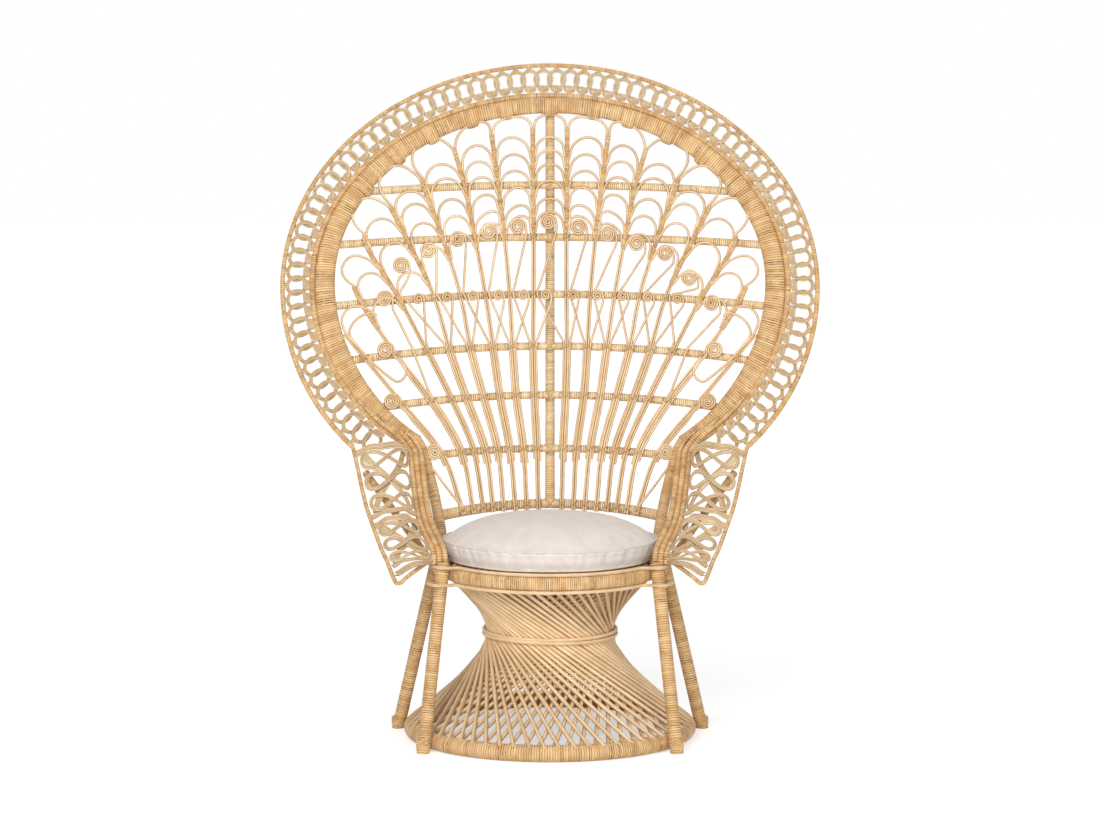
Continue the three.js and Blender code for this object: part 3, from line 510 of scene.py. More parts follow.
def cane(
    points,
    width,
    step=9.0,
    closed=False,
    roundness=1,
    taper=0.0,
    swell=0.0,
    finish=cane_skin,
    outward=False,
):
    bpy.ops.object.select_all(action="DESELECT")
    line = smooth_line(points, step)
    last = len(line) - 1
    shares = [i / last for i in range(last + 1)]
    radii = [1 - taper * share + swell * smooth_step(0.18, 0.3, share) for share in shares]
    drawn = draw_curve(line, closed=closed, radii=radii)
    drawn.data.bevel_depth = width / 2 * MM
    drawn.data.bevel_resolution = roundness
    drawn.data.use_fill_caps = True
    bpy.ops.object.convert(target="MESH")
    made = bpy.context.object
    layer = made.data.uv_layers[0].data
    coords = np.empty(len(layer) * 2)
    layer.foreach_get("uv", coords)
    normals = np.empty(len(made.data.vertices) * 3)
    made.data.vertices.foreach_get("normal", normals)
    normals = normals.reshape(-1, 3)
    corners = np.empty(len(layer), dtype=np.int32)
    made.data.loops.foreach_get("vertex_index", corners)
    # How squarely each point faces the front, or outwards from the base; the finish paints shade
    # on the flanks from it.
    facing = abs(normals[:, 2])
    if outward:
        away = coordinates(made)[:, :2] - [0, MIDDLE_Y * MM]
        away /= np.linalg.norm(away, axis=1, keepdims=True)
        facing = 0.5 + 0.5 * abs((normals[:, :2] * away).sum(axis=1))
    coords[0::2] = random.randrange(16) + 0.499 * (1 + facing[corners])
    coords[1::2] = coords[1::2] * length_of(line) * MM + random.uniform(0, 5)
    layer.foreach_set("uv", coords)
    made.data.materials.append(finish)
    return made


print("canes can be drawn in", cane_skin.name, "or another finish")

# %% [markdown]
# A wound pole could be one long helix of peel, but its turns would then need very many faces. So
# one turn is modelled once, as a short sleeve whose ends are drawn in. An Array modifier repeats
# it and a Curve modifier leads the turns along the pole. The lace border uses the same two.

# %% Wound poles
PEEL_GROOVE = 0.7
SAME_PLACE = 0.00005


def lead_along(piece, route, count, pitch, merge=False):
    repeat = piece.modifiers.new("copies", "ARRAY")
    repeat.count = count
    repeat.use_relative_offset = False
    repeat.use_constant_offset = True
    repeat.constant_offset_displace = (pitch * MM, 0, 0)
    repeat.use_merge_vertices = merge
    repeat.merge_threshold = SAME_PLACE
    repeat.offset_v = 1 if merge else 0
    lead = piece.modifiers.new("route", "CURVE")
    lead.object = route
    bpy.context.view_layer.objects.active = piece
    bpy.ops.object.modifier_apply(modifier="copies")
    bpy.ops.object.modifier_apply(modifier="route")
    bpy.data.objects.remove(route)


def wound(
    points,
    across,
    deep=None,
    pitch=4.6,
    closed=False,
    flat=False,
    radii=None,
    sides=12,
    square=2,
    rise=0,
    finish=wound_peel,
):
    bpy.ops.object.select_all(action="DESELECT")
    deep = deep or across
    line = [Vector(p) for p in points]
    length = length_of(line + line[:1] if closed else line)
    count = max(2, round(length / pitch))
    width = length / count
    route = draw_curve(line, closed=closed, flat=flat, radii=radii)
    bpy.ops.mesh.primitive_cylinder_add(
        vertices=sides,
        radius=1,
        depth=width * MM,
        end_fill_type="NOTHING",
        rotation=(0, math.pi / 2, 0),
    )
    turn = bpy.context.object
    turn.location.x = width / 2 * MM
    turn.scale = (deep / 2 * MM, across / 2 * MM, 1)
    bpy.ops.object.transform_apply(location=True, rotation=True, scale=True)
    for edge in turn.data.edges:
        a, b = (turn.data.vertices[i].co for i in edge.vertices)
        edge.select = abs(a.x - b.x) > width * MM / 2
    bpy.ops.object.mode_set(mode="EDIT")
    bpy.ops.mesh.select_mode(type="EDGE")
    bpy.ops.mesh.subdivide(number_cuts=2)
    bpy.ops.object.mode_set(mode="OBJECT")
    for vertex in turn.data.vertices:
        share = vertex.co.x / (width * MM)
        inset = PEEL_GROOVE if min(share, 1 - share) < 0.1 else 0.0
        wide, thick = 2 * vertex.co.y / MM / across, 2 * vertex.co.z / MM / deep
        corner = abs(wide) ** square + abs(thick) ** square
        vertex.co.y *= (1 - 2 * inset / across) / corner ** (1 / square)
        vertex.co.z *= (1 - 2 * inset / deep) / corner ** (1 / square)
        vertex.co.x = width * MM * (share if inset else 0.5 + (share - 0.5) * 1.9)
    lead_along(turn, route, count, width, merge=True)
    bpy.ops.object.mode_set(mode="EDIT")
    bpy.ops.mesh.select_all(action="SELECT")
    bpy.ops.mesh.remove_doubles(threshold=SAME_PLACE)
    bpy.ops.mesh.fill_holes(sides=0)
    bpy.ops.transform.translate(value=(0, 0, rise * MM))
    bpy.ops.object.mode_set(mode="OBJECT")
    turn.data.materials.append(finish)
    layer = turn.data.uv_layers[0].data
    coords = np.empty(len(layer) * 2)
    layer.foreach_get("uv", coords)
    coords[1::2] += random.randrange(1000)
    layer.foreach_set("uv", coords)
    return turn


print("the grooves between turns are", PEEL_GROOVE, "mm deep")

# %% [markdown]
# Each piece of the chair is many canes and strips, tied together for good. So their meshes are
# joined and their faces turned outwards. The piece then gets the body that it moves with, and the
# solids that it stands for are hidden.

# %% Binding a piece


def joined(pieces):
    bpy.ops.object.select_all(action="DESELECT")
    for piece in pieces:
        piece.select_set(True)
    bpy.context.view_layer.objects.active = pieces[0]
    if len(pieces) > 1:
        bpy.ops.object.join()
    return pieces[0]


def bind(name, pieces, nodes, body="frame"):
    whole = joined(pieces)
    whole.name = name
    bpy.ops.object.mode_set(mode="EDIT")
    bpy.ops.mesh.select_all(action="SELECT")
    bpy.ops.mesh.remove_doubles(threshold=0.00001)
    bpy.ops.mesh.normals_make_consistent(inside=False)
    bpy.ops.object.mode_set(mode="OBJECT")
    bpy.ops.object.shade_smooth_by_angle(angle=math.radians(50))
    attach(whole, body)
    if nodes:
        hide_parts(*nodes)
    return whole


def at(x, y, z):
    return Vector((x, y + MIDDLE_Y, z))


def ring_points(radius, height, count=96):
    angles = [2 * math.pi * i / count for i in range(count)]
    return [at(radius * math.cos(angle), radius * math.sin(angle), height) for angle in angles]


print("tools ready")

# %% [markdown]
# The base is the simplest piece of geometry on the chair and the most striking. Sixty straight
# canes run from the seat ring to the base ring, all leaning the same way round. Straight lines
# that lean like this close up into a waist by themselves, so no cane is bent. A second layer
# inside the first leans the other way, and the two cross in diamonds above the base ring.

# %% Hourglass base
BASE_RING_RADIUS = 308.5
BASE_RING_WIDTH = 37
CANE_COUNT = 60
CANE_WIDTH = 9.2
WAIST_Z = 233.7
WAIST_REEDS = {"upper": (148, WAIST_Z + 5, 2.0, 1), "lower": (148.5, WAIST_Z - 4, 1.5, 2)}
REED_WIDTH = 8
REED_STEPS = 72
FLOOR_CLEAR = 0.2
OUTER_LAYER = (139, 181, 285, 0.7133)
INNER_LAYER = (127, 171, 268, 0.756)

bind(
    "base_ring_wound",
    [
        wound(
            [p.xy.to_3d() for p in ring_points(BASE_RING_RADIUS, 0)],
            BASE_RING_WIDTH,
            pitch=5.4,
            closed=True,
            flat=True,
            sides=16,
            rise=BASE_RING_WIDTH / 2 + FLOOR_CLEAR,
        )
    ],
    ["base_ring"],
)


def base_cane(number, layer, hand):
    waist, head, foot, slope = layer
    angle = 2 * math.pi * number / CANE_COUNT + random.uniform(-0.006, 0.006)
    out = Vector((math.cos(angle), math.sin(angle), 0)) * (waist + random.uniform(-1.2, 1.2))
    side = Vector((-math.sin(angle), math.cos(angle), 0)) * hand
    runs = (-head, -60, 60, foot)
    line = [at(*(out + side * run + Vector((0, 0, WAIST_Z - run * slope)))) for run in runs]
    return cane(line, CANE_WIDTH * random.uniform(0.93, 1.05), step=60, roundness=2, outward=True)


canes = [base_cane(i, OUTER_LAYER, 1) for i in range(CANE_COUNT)]
canes += [base_cane(i, INNER_LAYER, -1) for i in range(CANE_COUNT)]
bind("base_canes_straight", canes, ["base_canes"])


def loose_ring(radius, height, waver, turns):
    line = []
    for i, point in enumerate(ring_points(radius, height, REED_STEPS)):
        swing = math.sin(2 * math.pi * turns * i / REED_STEPS)
        line.append(point + Vector((0, 0, waver * swing)))
    return cane([*line, line[0]], REED_WIDTH, outward=True)


for level, ring in WAIST_REEDS.items():
    bind(f"waist_reed_{level}_tied", [loose_ring(*ring)], [f"waist_reed_{level}"])
print("base canes:", 2 * CANE_COUNT)

# %% [markdown]
# The legs lean outwards from the seat ring and are sawn off level at the floor. Each is tied to
# the base ring by crossed strips of peel. A crossed tie is two short strips that arch over what
# they hold, so the same small tool serves the legs here and the fan later.

# %% Legs and crossed ties
LEG_WIDTH = 29
FRONT_LEG = ((256.6, -24, 401), (351, -38, -5))
REAR_LEG = ((258.2, 11, 391), (351.2, 11, -5))


def polar(radius, degrees, height):
    angle = math.radians(degrees)
    return at(radius * math.cos(angle), radius * math.sin(angle), height)


def level_off(piece):
    for vertex in piece.data.vertices:
        vertex.co.z = max(vertex.co.z, FLOOR_CLEAR * MM)


def crossed_tie(middle, across, along, out, strip=3.4, outward=False):
    strips = []
    for turn in (1, -1):
        reach = across + along * turn
        line = [
            middle - reach,
            middle - reach * 0.5 + out * 0.85,
            middle + out * (1.06 + 0.12 * turn),
            middle + reach * 0.5 + out * 0.85,
            middle + reach,
        ]
        strips.append(cane(line, strip, step=6, finish=tie_peel, outward=outward))
    return strips


def mirror_x(point):
    return Vector((-point.x, point.y, point.z))


for side, flip in (("left", lambda p: p), ("right", mirror_x)):
    for name, (top, foot) in (("front_leg", FRONT_LEG), ("rear_leg", REAR_LEG)):
        head, toe = flip(polar(*top)), flip(polar(*foot))
        pole = wound([head, head.lerp(toe, 0.5), toe], LEG_WIDTH, pitch=5.4, sides=14)
        out = flip(polar(1, foot[1], 0)) - at(0, 0, 0)
        along = Vector((-out.y, out.x, 0))
        knot = head.lerp(toe, 0.945)
        ties = []
        for shift in (-5, 0, 5):
            middle = knot + Vector((0, 0, shift))
            ties += crossed_tie(middle, along * 15, Vector((0, 0, 12)), out * 15, 4.6, True)
        for piece in (pole, *ties):
            level_off(piece)
        bind(f"{name}_{side}_wound", [pole, *ties], [f"{name}_{side}"])
print("legs made, each", LEG_WIDTH, "mm thick")

# %% [markdown]
# The seat ring is a hoop wound upright with peel. A reed runs along its top and lower edges, and
# bows out round the head of each front leg to hold it. The panel under the cushion is a plain
# basket weave: strips drawn as wavy round canes, then pressed flat.

# %% Seat ring, edge reeds and woven panel
SEAT_RADIUS = 245
APRON_DEPTH = 32
APRON_HEIGHT = 30
APRON_MIDDLE = 375
PANEL_RADIUS = 229
PANEL_Z = 392.2
STRIP_SPACING = 14
STRIP_WIDTH = 11.5
STRIP_WAVE = 4.6
PRESS = 0.2
CLASP_REACH = (9, 4)

bind(
    "seat_ring_wound",
    [
        wound(
            [p.xy.to_3d() for p in ring_points(SEAT_RADIUS - APRON_DEPTH / 2, 0)],
            APRON_DEPTH,
            APRON_HEIGHT,
            pitch=4.4,
            closed=True,
            flat=True,
            sides=16,
            square=4,
            rise=APRON_MIDDLE,
        )
    ],
    ["seat_ring"],
)


def edge_reed(radius, height, clasp):
    posts = (FRONT_LEG[0][1], 180 - FRONT_LEG[0][1])
    line = []
    for i in range(180):
        degrees = 2.0 * i
        away = min(abs((degrees - post + 180) % 360 - 180) for post in posts)
        bulge = (clasp - radius) * smooth_step(*CLASP_REACH, away)
        line.append(polar(radius + bulge, degrees, height))
    return cane([*line, line[0]], REED_WIDTH, outward=True)


bind("seat_top_reed_bent", [edge_reed(236.5, 394, 276)], ["seat_top_reed"])
bind("seat_lower_reed_bent", [edge_reed(239, 356, 286)], ["seat_lower_reed"])


def woven_strips(turned):
    strips = []
    steps = int(PANEL_RADIUS // STRIP_SPACING)
    for i in range(-steps, steps + 1):
        offset = i * STRIP_SPACING
        half = math.sqrt(PANEL_RADIUS**2 - offset**2) - 2
        line = []
        for k in range(-steps, steps + 1):
            if abs(k * STRIP_SPACING) < half:
                wave = STRIP_WAVE if (i + k + turned) % 2 else -STRIP_WAVE
                place = (offset, k * STRIP_SPACING) if turned else (k * STRIP_SPACING, offset)
                line.append(Vector((*place, wave)))
        if len(line) > 2:
            strips.append(cane(line, STRIP_WIDTH, step=7, finish=lace_peel))
    return strips


panel = bind("seat_panel_woven", woven_strips(0) + woven_strips(1), ["seat_panel"])
for vertex in panel.data.vertices:
    vertex.co.y += MIDDLE_Y * MM
    vertex.co.z = vertex.co.z * PRESS + PANEL_Z * MM
print("base and seat made")

# %% [markdown]
# The back is a shell: it leans away from the sitter and is bowed round the shoulders, less so
# higher up. Drawing canes straight onto such a shell is hard, so the fan is made flat, as on a
# drawing board, with X across, Y up and Z towards the sitter. A last step lays each finished
# flat mesh over the shell, point by point.

# %% The drawing board and the shell of the back
BACK_Y = 235
BACK_Z = 480
BACK_LEAN = 0.14
BACK_BOW = 284
BACK_BOW_GROWTH = 1.81


def on_shell(x, z, lift):
    bow = BACK_BOW + BACK_BOW_GROWTH * (z - BACK_Z)
    depth = BACK_Y + BACK_LEAN * (z - BACK_Z) - x * x / (2 * bow)
    slope_x = -x / bow
    slope_z = BACK_LEAN + x * x * BACK_BOW_GROWTH / (2 * bow * bow)
    size = np.sqrt(slope_x**2 + 1 + slope_z**2)
    return x + lift * slope_x / size, depth - lift / size, z + lift * slope_z / size


def lay_on_back(pieces):
    for piece in pieces:
        flat = coordinates(piece) / MM
        x, y, z = on_shell(flat[:, 0], flat[:, 1], flat[:, 2])
        place_points(piece, np.stack([x, y + MIDDLE_Y, z], axis=1) * MM)
    return pieces


def shell_point(x, z, lift=0.0):
    x, y, z = on_shell(x, z, lift)
    return at(float(x), float(y), float(z))


print("the shell leans back", round(math.degrees(math.atan(BACK_LEAN)), 1), "degrees")

# %% [markdown]
# Three hoops frame the fan: the broad wound hoop, a thin bead on its outside, and the rim rod
# that carries the outer edge of the lace. Each is two half ellipses that meet at the widest
# line. The broad hoop narrows towards the arms and runs on down as a round pole to the seat.

# %% Hoops
HOOP_Z = 1005
ARM_HEIGHT = 640
HOOP_BAND = (511, 397, 450)
HOOP_BEAD = (539, 421, 462)
RIM = (603, 490, 535)
BAND_WIDTH = 44
BAND_TOP_WIDTH = 35
BAND_FOOT_WIDTH = 27
BAND_DEPTH = 26
BAND_SQUARE = 2.6
BEAD_WIDTH = 12
RIM_WIDTH = 10
HOOP_LIFT = -6.4
SHIN = ((266, 545), (241.1, 92.6, 402), (241.1, 92.6, 362))


def hoop_point(hoop, share):
    half, above, below = hoop
    foot = -math.asin((HOOP_Z - ARM_HEIGHT) / below)
    angle = foot + share * (math.pi - 2 * foot)
    rise = math.sin(angle)
    return Vector((half * math.cos(angle), HOOP_Z + rise * (above if rise > 0 else below), 0))


def hoop_line(hoop, count=150):
    return [hoop_point(hoop, i / count) for i in range(count + 1)]


def band_width(share):
    reach = 2 * (3 + 36 * min(share, 1 - share)) / 42
    side = BAND_FOOT_WIDTH + (BAND_WIDTH - BAND_FOOT_WIDTH) * smooth_step(0.12, 0.35, reach)
    return side + (BAND_TOP_WIDTH - BAND_WIDTH) * smooth_step(0.6, 1.0, reach)


line = hoop_line(HOOP_BAND)
radii = [band_width(i / (len(line) - 1)) / BAND_WIDTH for i in range(len(line))]
broad = wound(
    line,
    BAND_WIDTH,
    BAND_DEPTH,
    pitch=5.4,
    flat=True,
    radii=radii,
    sides=16,
    square=BAND_SQUARE,
    rise=HOOP_LIFT,
)
lay_on_back([broad])
shins = []
for flip in (lambda p: p, mirror_x):
    end = hoop_point(HOOP_BAND, 0.012)
    start = hoop_point(HOOP_BAND, 0.0)
    route = [
        shell_point(end.x, end.y, HOOP_LIFT),
        shell_point(start.x, start.y, HOOP_LIFT),
        shell_point(*SHIN[0], HOOP_LIFT),
        at(*SHIN[1]),
        at(*SHIN[2]),
    ]
    shins.append(wound(smooth_line([flip(p) for p in route], 12), BAND_FOOT_WIDTH - 2, sides=14))
bind("back_hoop_wound", [broad, *shins], ["back_hoop"])
bead = wound(hoop_line(HOOP_BEAD), BEAD_WIDTH, pitch=4.2, flat=True, sides=8, rise=HOOP_LIFT)
bind("hoop_bead_wound", lay_on_back([bead]), ["hoop_bead"])
rim = wound(hoop_line(RIM), RIM_WIDTH, pitch=4.2, flat=True, sides=8, rise=HOOP_LIFT)
bind("rim_rod_wound", lay_on_back([rim]), ["rim_rod"])
print("the broad hoop is", round(length_of(line)), "mm long")

# %% [markdown]
# Six rails and the seat-back rail cross behind the fan, and one upright spine stands behind the
# rails. All are poles wound with peel, and each rail is tied to the spine with a crossed strip.

# %% Rails and spine
RAILS = {
    "rail_1": (1220, 12, 403, (39, 120, 197, 290)),
    "rail_2": (1100, 12, 472, (38, 105, 173, 247, 328, 424)),
    "rail_3": (969, 19, 490, (38, 93, 149, 206, 266, 345, 431)),
    "rail_4": (850, 20, 433, (39, 86, 131, 183, 231, 283, 353, 423)),
    "rail_5": (738, 16, 379, (36, 78, 115, 153, 192, 228, 271, 337)),
    "rail_6": (616, 8, 285, (30, 61, 92, 120, 148, 176, 203, 246)),
    "seat_back_rail": (490, 8, 240, (27, 54, 80, 107, 131, 153, 176, 200)),
}
RAIL_WIDTH = 18
SEAT_RAIL_WIDTH = 22
SPINE_WIDTH = 21
SPINE_HEIGHTS = (481, 940, 1415)
RAIL_LIFT = -13.2
SPINE_LIFT = -34


def rail_height(name, x):
    height, rise, span, _ = RAILS[name]
    return height - rise * (x / span) ** 2


for name, (height, rise, span, _) in RAILS.items():
    thick = SEAT_RAIL_WIDTH if name == "seat_back_rail" else RAIL_WIDTH
    reach = span + 12
    line = [Vector((x, rail_height(name, x), 0)) for x in np.linspace(-reach, reach, 40)]
    lift = RAIL_LIFT - (thick - RAIL_WIDTH) / 2
    rod = wound(line, thick, pitch=4.6, flat=True, sides=12, rise=lift, finish=painted_lit_peel)
    front = lift + thick / 2
    knots = crossed_tie(
        Vector((0, height, front - 3)),
        Vector((SPINE_WIDTH / 2 + 1, 0, 0)),
        Vector((0, thick / 2, 0)),
        Vector((0, 0, 4)),
    )
    bind(f"{name}_wound", lay_on_back([rod, *knots]), [name])

spine = wound(
    [Vector((0, height, 0)) for height in SPINE_HEIGHTS],
    SPINE_WIDTH,
    flat=True,
    sides=14,
    rise=SPINE_LIFT,
    finish=painted_lit_peel,
)
bind("spine_wound", lay_on_back([spine]), ["spine"])
print("hoops, rails and spine made")

# %% [markdown]
# Sixteen stakes spread from the seat to the hoop. Each is a pair of canes that thin towards the
# top. Between rails 4 and 6 the stems of the scrolls join the pair, so the stake is a bundle
# there. The stems are sawn off below rail 6 and the pair goes on to the seat-back rail. A
# crossed strip ties each stake to each rail. Stakes are numbered from the left of the picture,
# and a sector lies to the right of its stake.

# %% Stakes of the fan
STAKE_TOPS = (
    (40, 1352), (135, 1337), (223, 1306), (298, 1238),
    (369, 1174), (425, 1109), (449, 992), (467, 885),
)
STAKES = 16
HALF = STAKES // 2
STAKE_CANE = 5.6
STAKE_TAPER = 0.2
STAKE_FOOT = 474
BUNDLED_RAILS = ("rail_4", "rail_5", "rail_6")


def fan_place(number):
    return (-1, HALF - 1 - number) if number < HALF else (1, number - HALF)


def stake_line(number):
    side, outward = fan_place(number)
    points = [STAKE_TOPS[outward]]
    for name, (_, _, _, crossings) in RAILS.items():
        if outward < len(crossings):
            points.append((crossings[outward], rail_height(name, crossings[outward])))
    return [Vector((side * x, z, 0)) for x, z in points]


stake_lines = [smooth_line(stake_line(i), 6) for i in range(STAKES)]


def beside(number, height, offset=0.0, lift=0.0):
    line = stake_lines[number]
    index = next((i for i, p in enumerate(line) if p.y <= height), len(line) - 1)
    index = max(1, index)
    upper, lower = line[index - 1], line[index]
    point = lower + (upper - lower) * ((height - lower.y) / (upper.y - lower.y))
    up = (upper - lower).normalized()
    return Vector((point.x + offset * up.y, point.y - offset * up.x, lift))


def stake_run(number, top, bottom, offset, lift=0.0, count=14):
    return [beside(number, z, offset, lift) for z in np.linspace(top, bottom, count)]


def stake_canes(number):
    top = stake_lines[number][0].y
    made = []
    for side in (-1, 1):
        line = []
        for share in np.linspace(0, 1, 16):
            near = side * STAKE_CANE * (1 - STAKE_TAPER * share) / 2
            line.append(beside(number, STAKE_FOOT + (top - STAKE_FOOT) * share, near))
        made.append(cane(line, STAKE_CANE, step=14, roundness=2, taper=STAKE_TAPER))
    return made


def stake_ties(number):
    made = []
    side, outward = fan_place(number)
    for name, (_, _, _, crossings) in RAILS.items():
        if outward < len(crossings):
            x = side * crossings[outward]
            knot = Vector((x, rail_height(name, x), -1.5))
            across = Vector((10.5 if name in BUNDLED_RAILS else 7, 0, 0))
            made += crossed_tie(knot, across, Vector((0, 7, 0)), Vector((0, 0, 6)), 3.0)
    return made


print("stakes are", round(max(length_of(line) for line in stake_lines)), "mm long at most")

# %% [markdown]
# Between neighbouring stakes stand tiers of scallops: a cane leaves one stake, goes over in a
# half ellipse and comes down along the next. The crowns of the arches are listed sector by
# sector, from the middle outwards, and the other half is the mirror image. In the outer sectors
# the arches lean with their stakes: there the listed crown gives only the height, and the tip
# stands square to the line between the feet.

# %% Scallops
SCALLOP_CANE = 5.8
ARCH_STEPS = 14
TRUNK_WIDTH = 11
TRUNK_SIDE = (TRUNK_WIDTH + SCALLOP_CANE) / 2 - 1
FORK = 3.2
UPRIGHT_SECTORS = 2
FIRST_TALLEST = 1.5
TALLEST = 1.1
FLATTEST = 0.8
trunk_foot = {}
CROWNS = (
    ((0, 1380), (0, 1329), (0, 1299), (0, 1267), (0, 1229), (0, 1188), (0, 1157)),
    ((91, 1374), (89, 1328), (85, 1289), (83, 1251), (76, 1213), (68, 1172), (68, 1147)),
    ((177, 1360), (174, 1309), (170, 1272), (162, 1236), (151, 1196), (136, 1158), (136, 1130)),
    ((266, 1324), (253, 1275), (236, 1234), (221, 1190), (208, 1150), (200, 1109)),
    ((338, 1273), (316, 1222), (299, 1184), (280, 1139), (265, 1082)),
    ((400, 1195), (373, 1155), (350, 1100), (316, 1034)),
    ((450, 1080), (404, 1033), (368, 972)),
    (),
)


def along_stake(number, point):
    line = stake_lines[number]
    return min(line, key=lambda p: (p.xy - point.xy).length).y


def foot_of(number, crown, side, half, first):
    top = stake_lines[number][0].y
    if first and crown.y > top + 4:
        return beside(number, top - 3, side * FORK), beside(number, top - 26, side * 2.5)
    height = along_stake(number, crown) - half * 0.92
    trunk_foot[number] = min(trunk_foot.get(number, height), height)
    return beside(number, height, side * TRUNK_SIDE), beside(number, height - 17, side * 3.5)


def arch_tip(start, end, middle, top, tallest):
    chord = end - start
    wide = chord.length / 2
    along = chord.normalized()
    axis = Vector((-along.y, along.x, 0))
    rise = math.sqrt(max((top - middle.y) ** 2 - (wide * along.y) ** 2, 0)) / axis.y
    return middle + axis * min(max(rise, FLATTEST * wide), tallest * wide)


def scallop(number, crown, first):
    crown = Vector((*crown, 0))
    near, far = (beside(i, along_stake(i, crown)) for i in (number, number + 1))
    half = (near - far).length / 2 - TRUNK_SIDE
    feet = [foot_of(number, crown, 1, half, first), foot_of(number + 1, crown, -1, half, first)]
    middle = feet[0][0].lerp(feet[1][0], 0.5)
    if abs(number - HALF + 1) > UPRIGHT_SECTORS:
        tallest = FIRST_TALLEST if first else TALLEST
        crown = arch_tip(feet[0][0], feet[1][0], middle, crown.y, tallest)
    fuller = 0.8 if first else 1.0
    arch = []
    for i in range(ARCH_STEPS + 1):
        angle = math.pi * i / ARCH_STEPS
        run = math.copysign(abs(math.cos(angle)) ** fuller, math.cos(angle))
        rise = max(math.sin(angle), 0.0) ** fuller
        arch.append(middle + (feet[0][0] - middle) * run + (crown - middle) * rise)
    return cane([feet[0][1], *arch, feet[1][1]], SCALLOP_CANE, step=8, roundness=2)


def scallops(number):
    sector = number - HALF + 1
    made = []
    for i, (x, z) in enumerate(CROWNS[abs(sector)]):
        made.append(scallop(number, (math.copysign(x, sector) if sector else 0, z), i == 0))
    return made


print("arches from the middle outwards:", [len(sector) for sector in CROWNS])

# %% [markdown]
# Scrolls are canes wound up like watch springs. The tall ones stand under the lowest scallops,
# the small ones sit on rail 3. Their stems lean over and cross on the way down to the bundles.

# %% Scrolls
SCROLL_CANE = 4.5
SCROLL_SWELL = 0.2
BUNDLE_TOP = 838
BUNDLE_END = 585
BUNDLE_SIDE = STAKE_CANE + 1.2
TALL_SCROLL = (21, 3.25)
SMALL_SCROLL = (15, 2.1)
SCROLL_EYE = 1.7
COIL_STEPS = 14
TALL_SCROLLS = (
    (-379, 961), (-342, 1036), (-280, 1069), (-213, 1094), (-141, 1113), (-74, 1123), (-4, 1134),
    (66, 1121), (134, 1106), (200, 1085), (265, 1063), (320, 1007), (370, 951),
)
SMALL_SCROLLS = (-303, -238, -179, -119, -62, -10, 53, 110, 168, 227, 294)


def scroll(middle, size, stem, hand=1):
    radius, turns = size
    steps = round(turns * COIL_STEPS)
    coil = []
    for i in range(steps + 1):
        angle = 2 * math.pi * (steps - i) / COIL_STEPS
        reach = SCROLL_EYE + (radius - SCROLL_CANE / 2 - SCROLL_EYE) * i / steps
        x = middle[0] + hand * reach * math.cos(angle)
        coil.append(Vector((x, middle[1] + reach * math.sin(angle), stem[0].z)))
    return cane([*coil, *stem], SCROLL_CANE, step=12, roundness=2, swell=SCROLL_SWELL)


def bundle_run(number, side, top=BUNDLE_TOP):
    end = BUNDLE_END + random.uniform(-4, 8)
    return stake_run(number, top, end, side * BUNDLE_SIDE, -2, 7)


def scrolls(number):
    made = []
    tall = number - 1
    if 0 <= tall < len(TALL_SCROLLS):
        x, z = TALL_SCROLLS[tall]
        side = Vector((x + TALL_SCROLL[0] - SCROLL_CANE / 2, z - 22, 0.6))
        if tall in (0, len(TALL_SCROLLS) - 1):
            joins, hand = (number, 1) if tall == 0 else (number + 1, -1)
            stem = taut([side, Vector((-hand * 316, 850, 0)), *bundle_run(joins, hand, 745)])
        else:
            knee = beside(number, 969, BUNDLE_SIDE + 1, 1)
            ankle = beside(number + 1, 858, -BUNDLE_SIDE - 1, 1)
            stem = taut([side, knee, ankle, *bundle_run(number + 1, -1)])
        made.append(scroll((x, z), TALL_SCROLL, stem))
    small = number - 2
    if 0 <= small < len(SMALL_SCROLLS):
        x = SMALL_SCROLLS[small]
        z = rail_height("rail_3", x) - 3
        side = Vector((x + SMALL_SCROLL[0] - SCROLL_CANE / 2, z - 14, 5))
        stem = taut([side, beside(number, 858, BUNDLE_SIDE + 1, 3), *bundle_run(number, 1)])
        made.append(scroll((x, z), SMALL_SCROLL, stem))
    return made


print("scrolls:", len(TALL_SCROLLS), "tall and", len(SMALL_SCROLLS), "small")

# %% [markdown]
# At the two ends of the fan the maker fills the last corner with a loose arch, a long teardrop
# loop inside it, and a scroll at the end of each of the three lower rails. They belong to the
# outermost stakes, and the list is for the end at the left of the picture.

# %% Ends of the fan
LAST_ARCH = (
    (-400, 925), (-406, 932), (-427, 943), (-447, 946), (-465, 936),
    (-474, 918), (-471, 900), (-460, 879), (-437, 853),
)
TEARDROP = (
    (-396, 922), (-404, 930), (-424, 927), (-444, 914), (-456, 894), (-455, 879), (-440, 858),
    (-403, 817), (-369, 787), (-348, 774), (-333, 783), (-329, 797), (-335, 813), (-346, 829),
)
RAIL_4_END = ((-376, 846), ((-359, 836), (-346, 822), (-332, 802)))
RAIL_5_END = ((-360, 730), ((-343, 720), (-328, 706)))
RAIL_6_END = ((-265, 613), ((-282, 603), (-276, 590), (-241, 541), (-210, 501), (-203, 490)))


def end_canes(hand):
    def place(points, lift=1.5):
        return [Vector((hand * x, z, lift)) for x, z in points]

    last = 0 if hand == 1 else STAKES - 1
    loops = (LAST_ARCH, TEARDROP)
    made = [cane(place(points), SCALLOP_CANE, step=7, roundness=2) for points in loops]
    for (middle, stem), joins, top in ((RAIL_4_END, last + hand, 785), (RAIL_5_END, last, 690)):
        route = taut([*place(stem), *bundle_run(joins, -hand, top)])
        made.append(scroll(place([middle])[0], TALL_SCROLL, route, hand))
    middle, stem = RAIL_6_END
    made.append(scroll(place([middle])[0], TALL_SCROLL, taut(place(stem)), -hand))
    return made


loop = smooth_line([Vector((*point, 0)) for point in TEARDROP])
print("the teardrop takes", round(length_of(loop)), "mm of cane")

